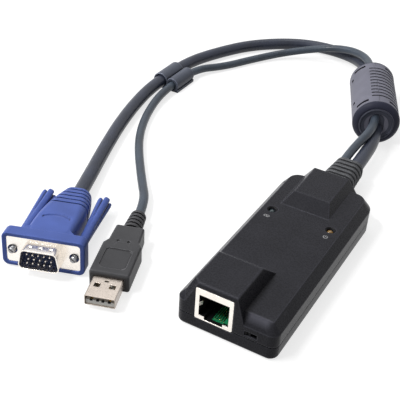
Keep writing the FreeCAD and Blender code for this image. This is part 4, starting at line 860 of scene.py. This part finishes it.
class ADAPTER_OT_ferrite(bpy.types.Operator):
    """Makes the rings and grommets of the ferrite's ends, and the clip that holds both cords"""
    bl_idname = "adapter.ferrite"
    bl_label = "Ferrite and clip"

    def execute(self, context):
        place, steps = place_of("ferrite"), 72
        bead = [(0.0081 + x, y) for x, y in circle(0.00045, 12)]
        in_rows("ferrite_end_rings", "ferrite_disc", turned("ring", bead, steps, loop=True), place, 2,
                (0.0, FERRITE_LENGTH, 0.0))
        bevel = [(0.0088, 0.0006), (0.0088, -0.0001), (0.0093, -0.00012), (0.0101, 0.0002), (0.0110, 0.001),
                 (0.01165, 0.0018), (0.01178, 0.0024), (0.0116, 0.0027), (0.0105, 0.0025)]
        disc = [(0.006, 0.0006), (0.006, -0.00008), (0.0078, -0.00008), (0.0078, 0.0006)]
        # The end bevels get the darker finish that paints shade on them.
        for name, near, finish in (("ferrite_end_bevels", bevel, "ferrite_end_shaded"),
                                   ("ferrite_end_discs", disc, "ferrite_disc")):
            far = [(radius, FERRITE_LENGTH - y) for radius, y in near]
            ends = [(turned("end", outline, steps, loop=True), place) for outline in (near, far)]
            settled(smooth(linked(name, joined(ends))), finish)
        grommet = turned("grommet", [(0, 0), (0.0061, 0), (0.0061, 0.001), (0, 0.001)], 48)
        in_rows("ferrite_grommets", "ferrite_disc", grommet, place @ at(0.0, 0.0004, 0.0), 2,
                (0.0, GROMMET_STEP, 0.0))
        rounded_copy("cord_clip", "two_cord_clip", 0.0003)
        return {"FINISHED"}


class ADAPTER_OT_cords(bpy.types.Operator):
    """Lays the two cords along their routes"""
    bl_idname = "adapter.cords"
    bl_label = "Cords"

    def execute(self, context):
        sizes = context.scene.adapter_sizes
        make_cord("video_cord_jacket", VIDEO_ROUTE, sizes.video_cord, "cord_grey",
                  "video_cord")
        make_cord("usb_cord_jacket", USB_ROUTE, sizes.usb_cord, "usb_cord_grey",
                  "usb_cord")
        return {"FINISHED"}


class ADAPTER_OT_solids(bpy.types.Operator):
    """Gives the solids that stay as they are their finishes"""
    bl_idname = "adapter.solids"
    bl_label = "Solids"

    def execute(self, context):
        for name, node in frame["nodes"].items():
            if not node.hide_render:
                node.data.materials.clear()
                node.data.materials.append(MATERIALS[SLOTS[name]])
        return {"FINISHED"}


# The stage

CAMERA_PLACE = Vector((0.0920, -0.2471, 0.2131))
CAMERA_AZIMUTH = 27.94
CAMERA_ELEVATION = 34.83
CAMERA_ROLL = 3.54
CAMERA_LENS = 74.66
STAGE_MIDDLE = Vector((-0.04, 0.05, 0.0))
FLOOR_REACH = 3.0
FLOOR_GLOW = 0.75
WORLD_LIGHT = 0.14

# Each lamp's name, place, width, height and watts.
LAMPS = (("overhead_softbox", (-0.3, 0.35, 0.9), 0.7, 0.5, 2.8),
         ("left_softbox", (-0.8, -0.1, 0.5), 0.4, 0.4, 2.8),
         ("front_strip", (-0.37, -0.36, 0.76), 0.3, 0.04, 4.4))


def make_camera():
    azimuth, elevation, roll = (math.radians(a) for a in (CAMERA_AZIMUTH, CAMERA_ELEVATION, CAMERA_ROLL))
    ahead = Vector((-math.sin(azimuth) * math.cos(elevation), math.cos(azimuth) * math.cos(elevation),
                    -math.sin(elevation)))
    right = ahead.cross(Vector((0, 0, 1))).normalized()
    up = right.cross(ahead)
    rolled = Matrix((right * math.cos(roll) + up * math.sin(roll),
                     up * math.cos(roll) - right * math.sin(roll), -ahead)).transposed()
    data = bpy.data.cameras.new("camera")
    data.lens = CAMERA_LENS
    data.sensor_width = 36.0
    data.clip_start = 0.01
    data.clip_end = 20.0
    camera = linked("camera", data)
    camera.matrix_world = Matrix.Translation(CAMERA_PLACE) @ rolled.to_4x4()
    bpy.context.scene.camera = camera


def make_lamp(name, place, width, height, watts):
    data = bpy.data.lights.new(name, "AREA")
    data.shape = "RECTANGLE"
    data.size = width
    data.size_y = height
    data.energy = watts
    lamp = linked(name, data)
    lamp.location = place
    lamp.rotation_euler = (STAGE_MIDDLE - Vector(place)).to_track_quat("-Z", "Y").to_euler()


def seen_rays(tree):
    """1 where the camera looks, straight, in a reflection or through a lens, and 0 where light falls."""
    rays = add(tree, "ShaderNodeLightPath").outputs
    straight = math_node(tree, "MAXIMUM", rays["Is Camera Ray"], rays["Is Glossy Ray"])
    return math_node(tree, "MAXIMUM", straight, rays["Is Transmission Ray"])


def make_floor(colour):
    floor = bpy.data.meshes.new("floor")
    square = rectangle(-FLOOR_REACH, FLOOR_REACH, -FLOOR_REACH, FLOOR_REACH)
    floor.from_pydata([(x, y, 0) for x, y in square], [], [(0, 1, 2, 3)])
    tree, main, place = shader("pale_floor")
    cloud = span(tree, noise(tree, place, 0.25), 0.0, 1.0)
    fill(tree, main, {
        "Base Color": mixed(tree, cloud, scaled(colour, 0.99), colour),
        "Roughness": 0.7, "Specular IOR Level": 0.1, "Emission Color": (1, 1, 1, 1),
        "Emission Strength": math_node(tree, "MULTIPLY", seen_rays(tree), FLOOR_GLOW)})
    floor.materials.append(MATERIALS["pale_floor"])
    linked("floor", floor)


def make_world():
    world = bpy.data.worlds.new("studio")
    bpy.context.scene.world = world
    world.use_nodes = True
    tree = world.node_tree
    fill(tree, tree.nodes["Background"], {
        "Color": (1, 1, 1, 1),
        "Strength": span(tree, seen_rays(tree), WORLD_LIGHT, 1.0, 0.0, 1.0)})


class ADAPTER_OT_stage(bpy.types.Operator):
    """Sets the floor, the lamps and the camera"""
    bl_idname = "adapter.stage"
    bl_label = "Stage"

    def execute(self, context):
        context.scene.view_settings.view_transform = "Standard"
        make_world()
        make_floor(tuple(context.scene.adapter_colours.floor))
        for lamp in LAMPS:
            make_lamp(*lamp)
        make_camera()
        return {"FINISHED"}


class ADAPTER_PT_panel(bpy.types.Panel):
    """Lists the adapter's sizes, colours and pieces"""
    bl_label = "Console adapter"
    bl_idname = "ADAPTER_PT_panel"
    bl_space_type = "VIEW_3D"
    bl_region_type = "UI"
    bl_category = "Adapter"

    def draw(self, context):
        for group in (context.scene.adapter_sizes, context.scene.adapter_colours):
            for name in group.bl_rna.properties.keys():
                if name not in ("rna_type", "name"):
                    self.layout.prop(group, name)
        for operator in OPERATORS:
            self.layout.operator(operator.bl_idname)


OPERATORS = (ADAPTER_OT_housing, ADAPTER_OT_socket, ADAPTER_OT_relief, ADAPTER_OT_marks,
             ADAPTER_OT_video_plug, ADAPTER_OT_usb_plug, ADAPTER_OT_ferrite, ADAPTER_OT_cords,
             ADAPTER_OT_solids, ADAPTER_OT_stage)
CLASSES = (AdapterSizes, AdapterColours) + OPERATORS + (ADAPTER_PT_panel,)


def register():
    for made in CLASSES:
        bpy.utils.register_class(made)
    bpy.types.Scene.adapter_sizes = bpy.props.PointerProperty(type=AdapterSizes)
    bpy.types.Scene.adapter_colours = bpy.props.PointerProperty(type=AdapterColours)


def unregister():
    del bpy.types.Scene.adapter_colours
    del bpy.types.Scene.adapter_sizes
    for made in reversed(CLASSES):
        bpy.utils.unregister_class(made)


def corners(box):
    return [list(map(float, corner)) for corner in box]


def main():
    register()
    make_materials(bpy.context.scene.adapter_colours)
    bpy.ops.adapter.housing()
    bpy.ops.adapter.socket()
    bpy.ops.adapter.relief()
    bpy.ops.adapter.marks()
    bpy.ops.adapter.video_plug()
    bpy.ops.adapter.usb_plug()
    bpy.ops.adapter.ferrite()
    bpy.ops.adapter.cords()
    bpy.ops.adapter.solids()
    bpy.ops.adapter.stage()
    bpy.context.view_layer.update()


if __name__ == "__main__":
    main()
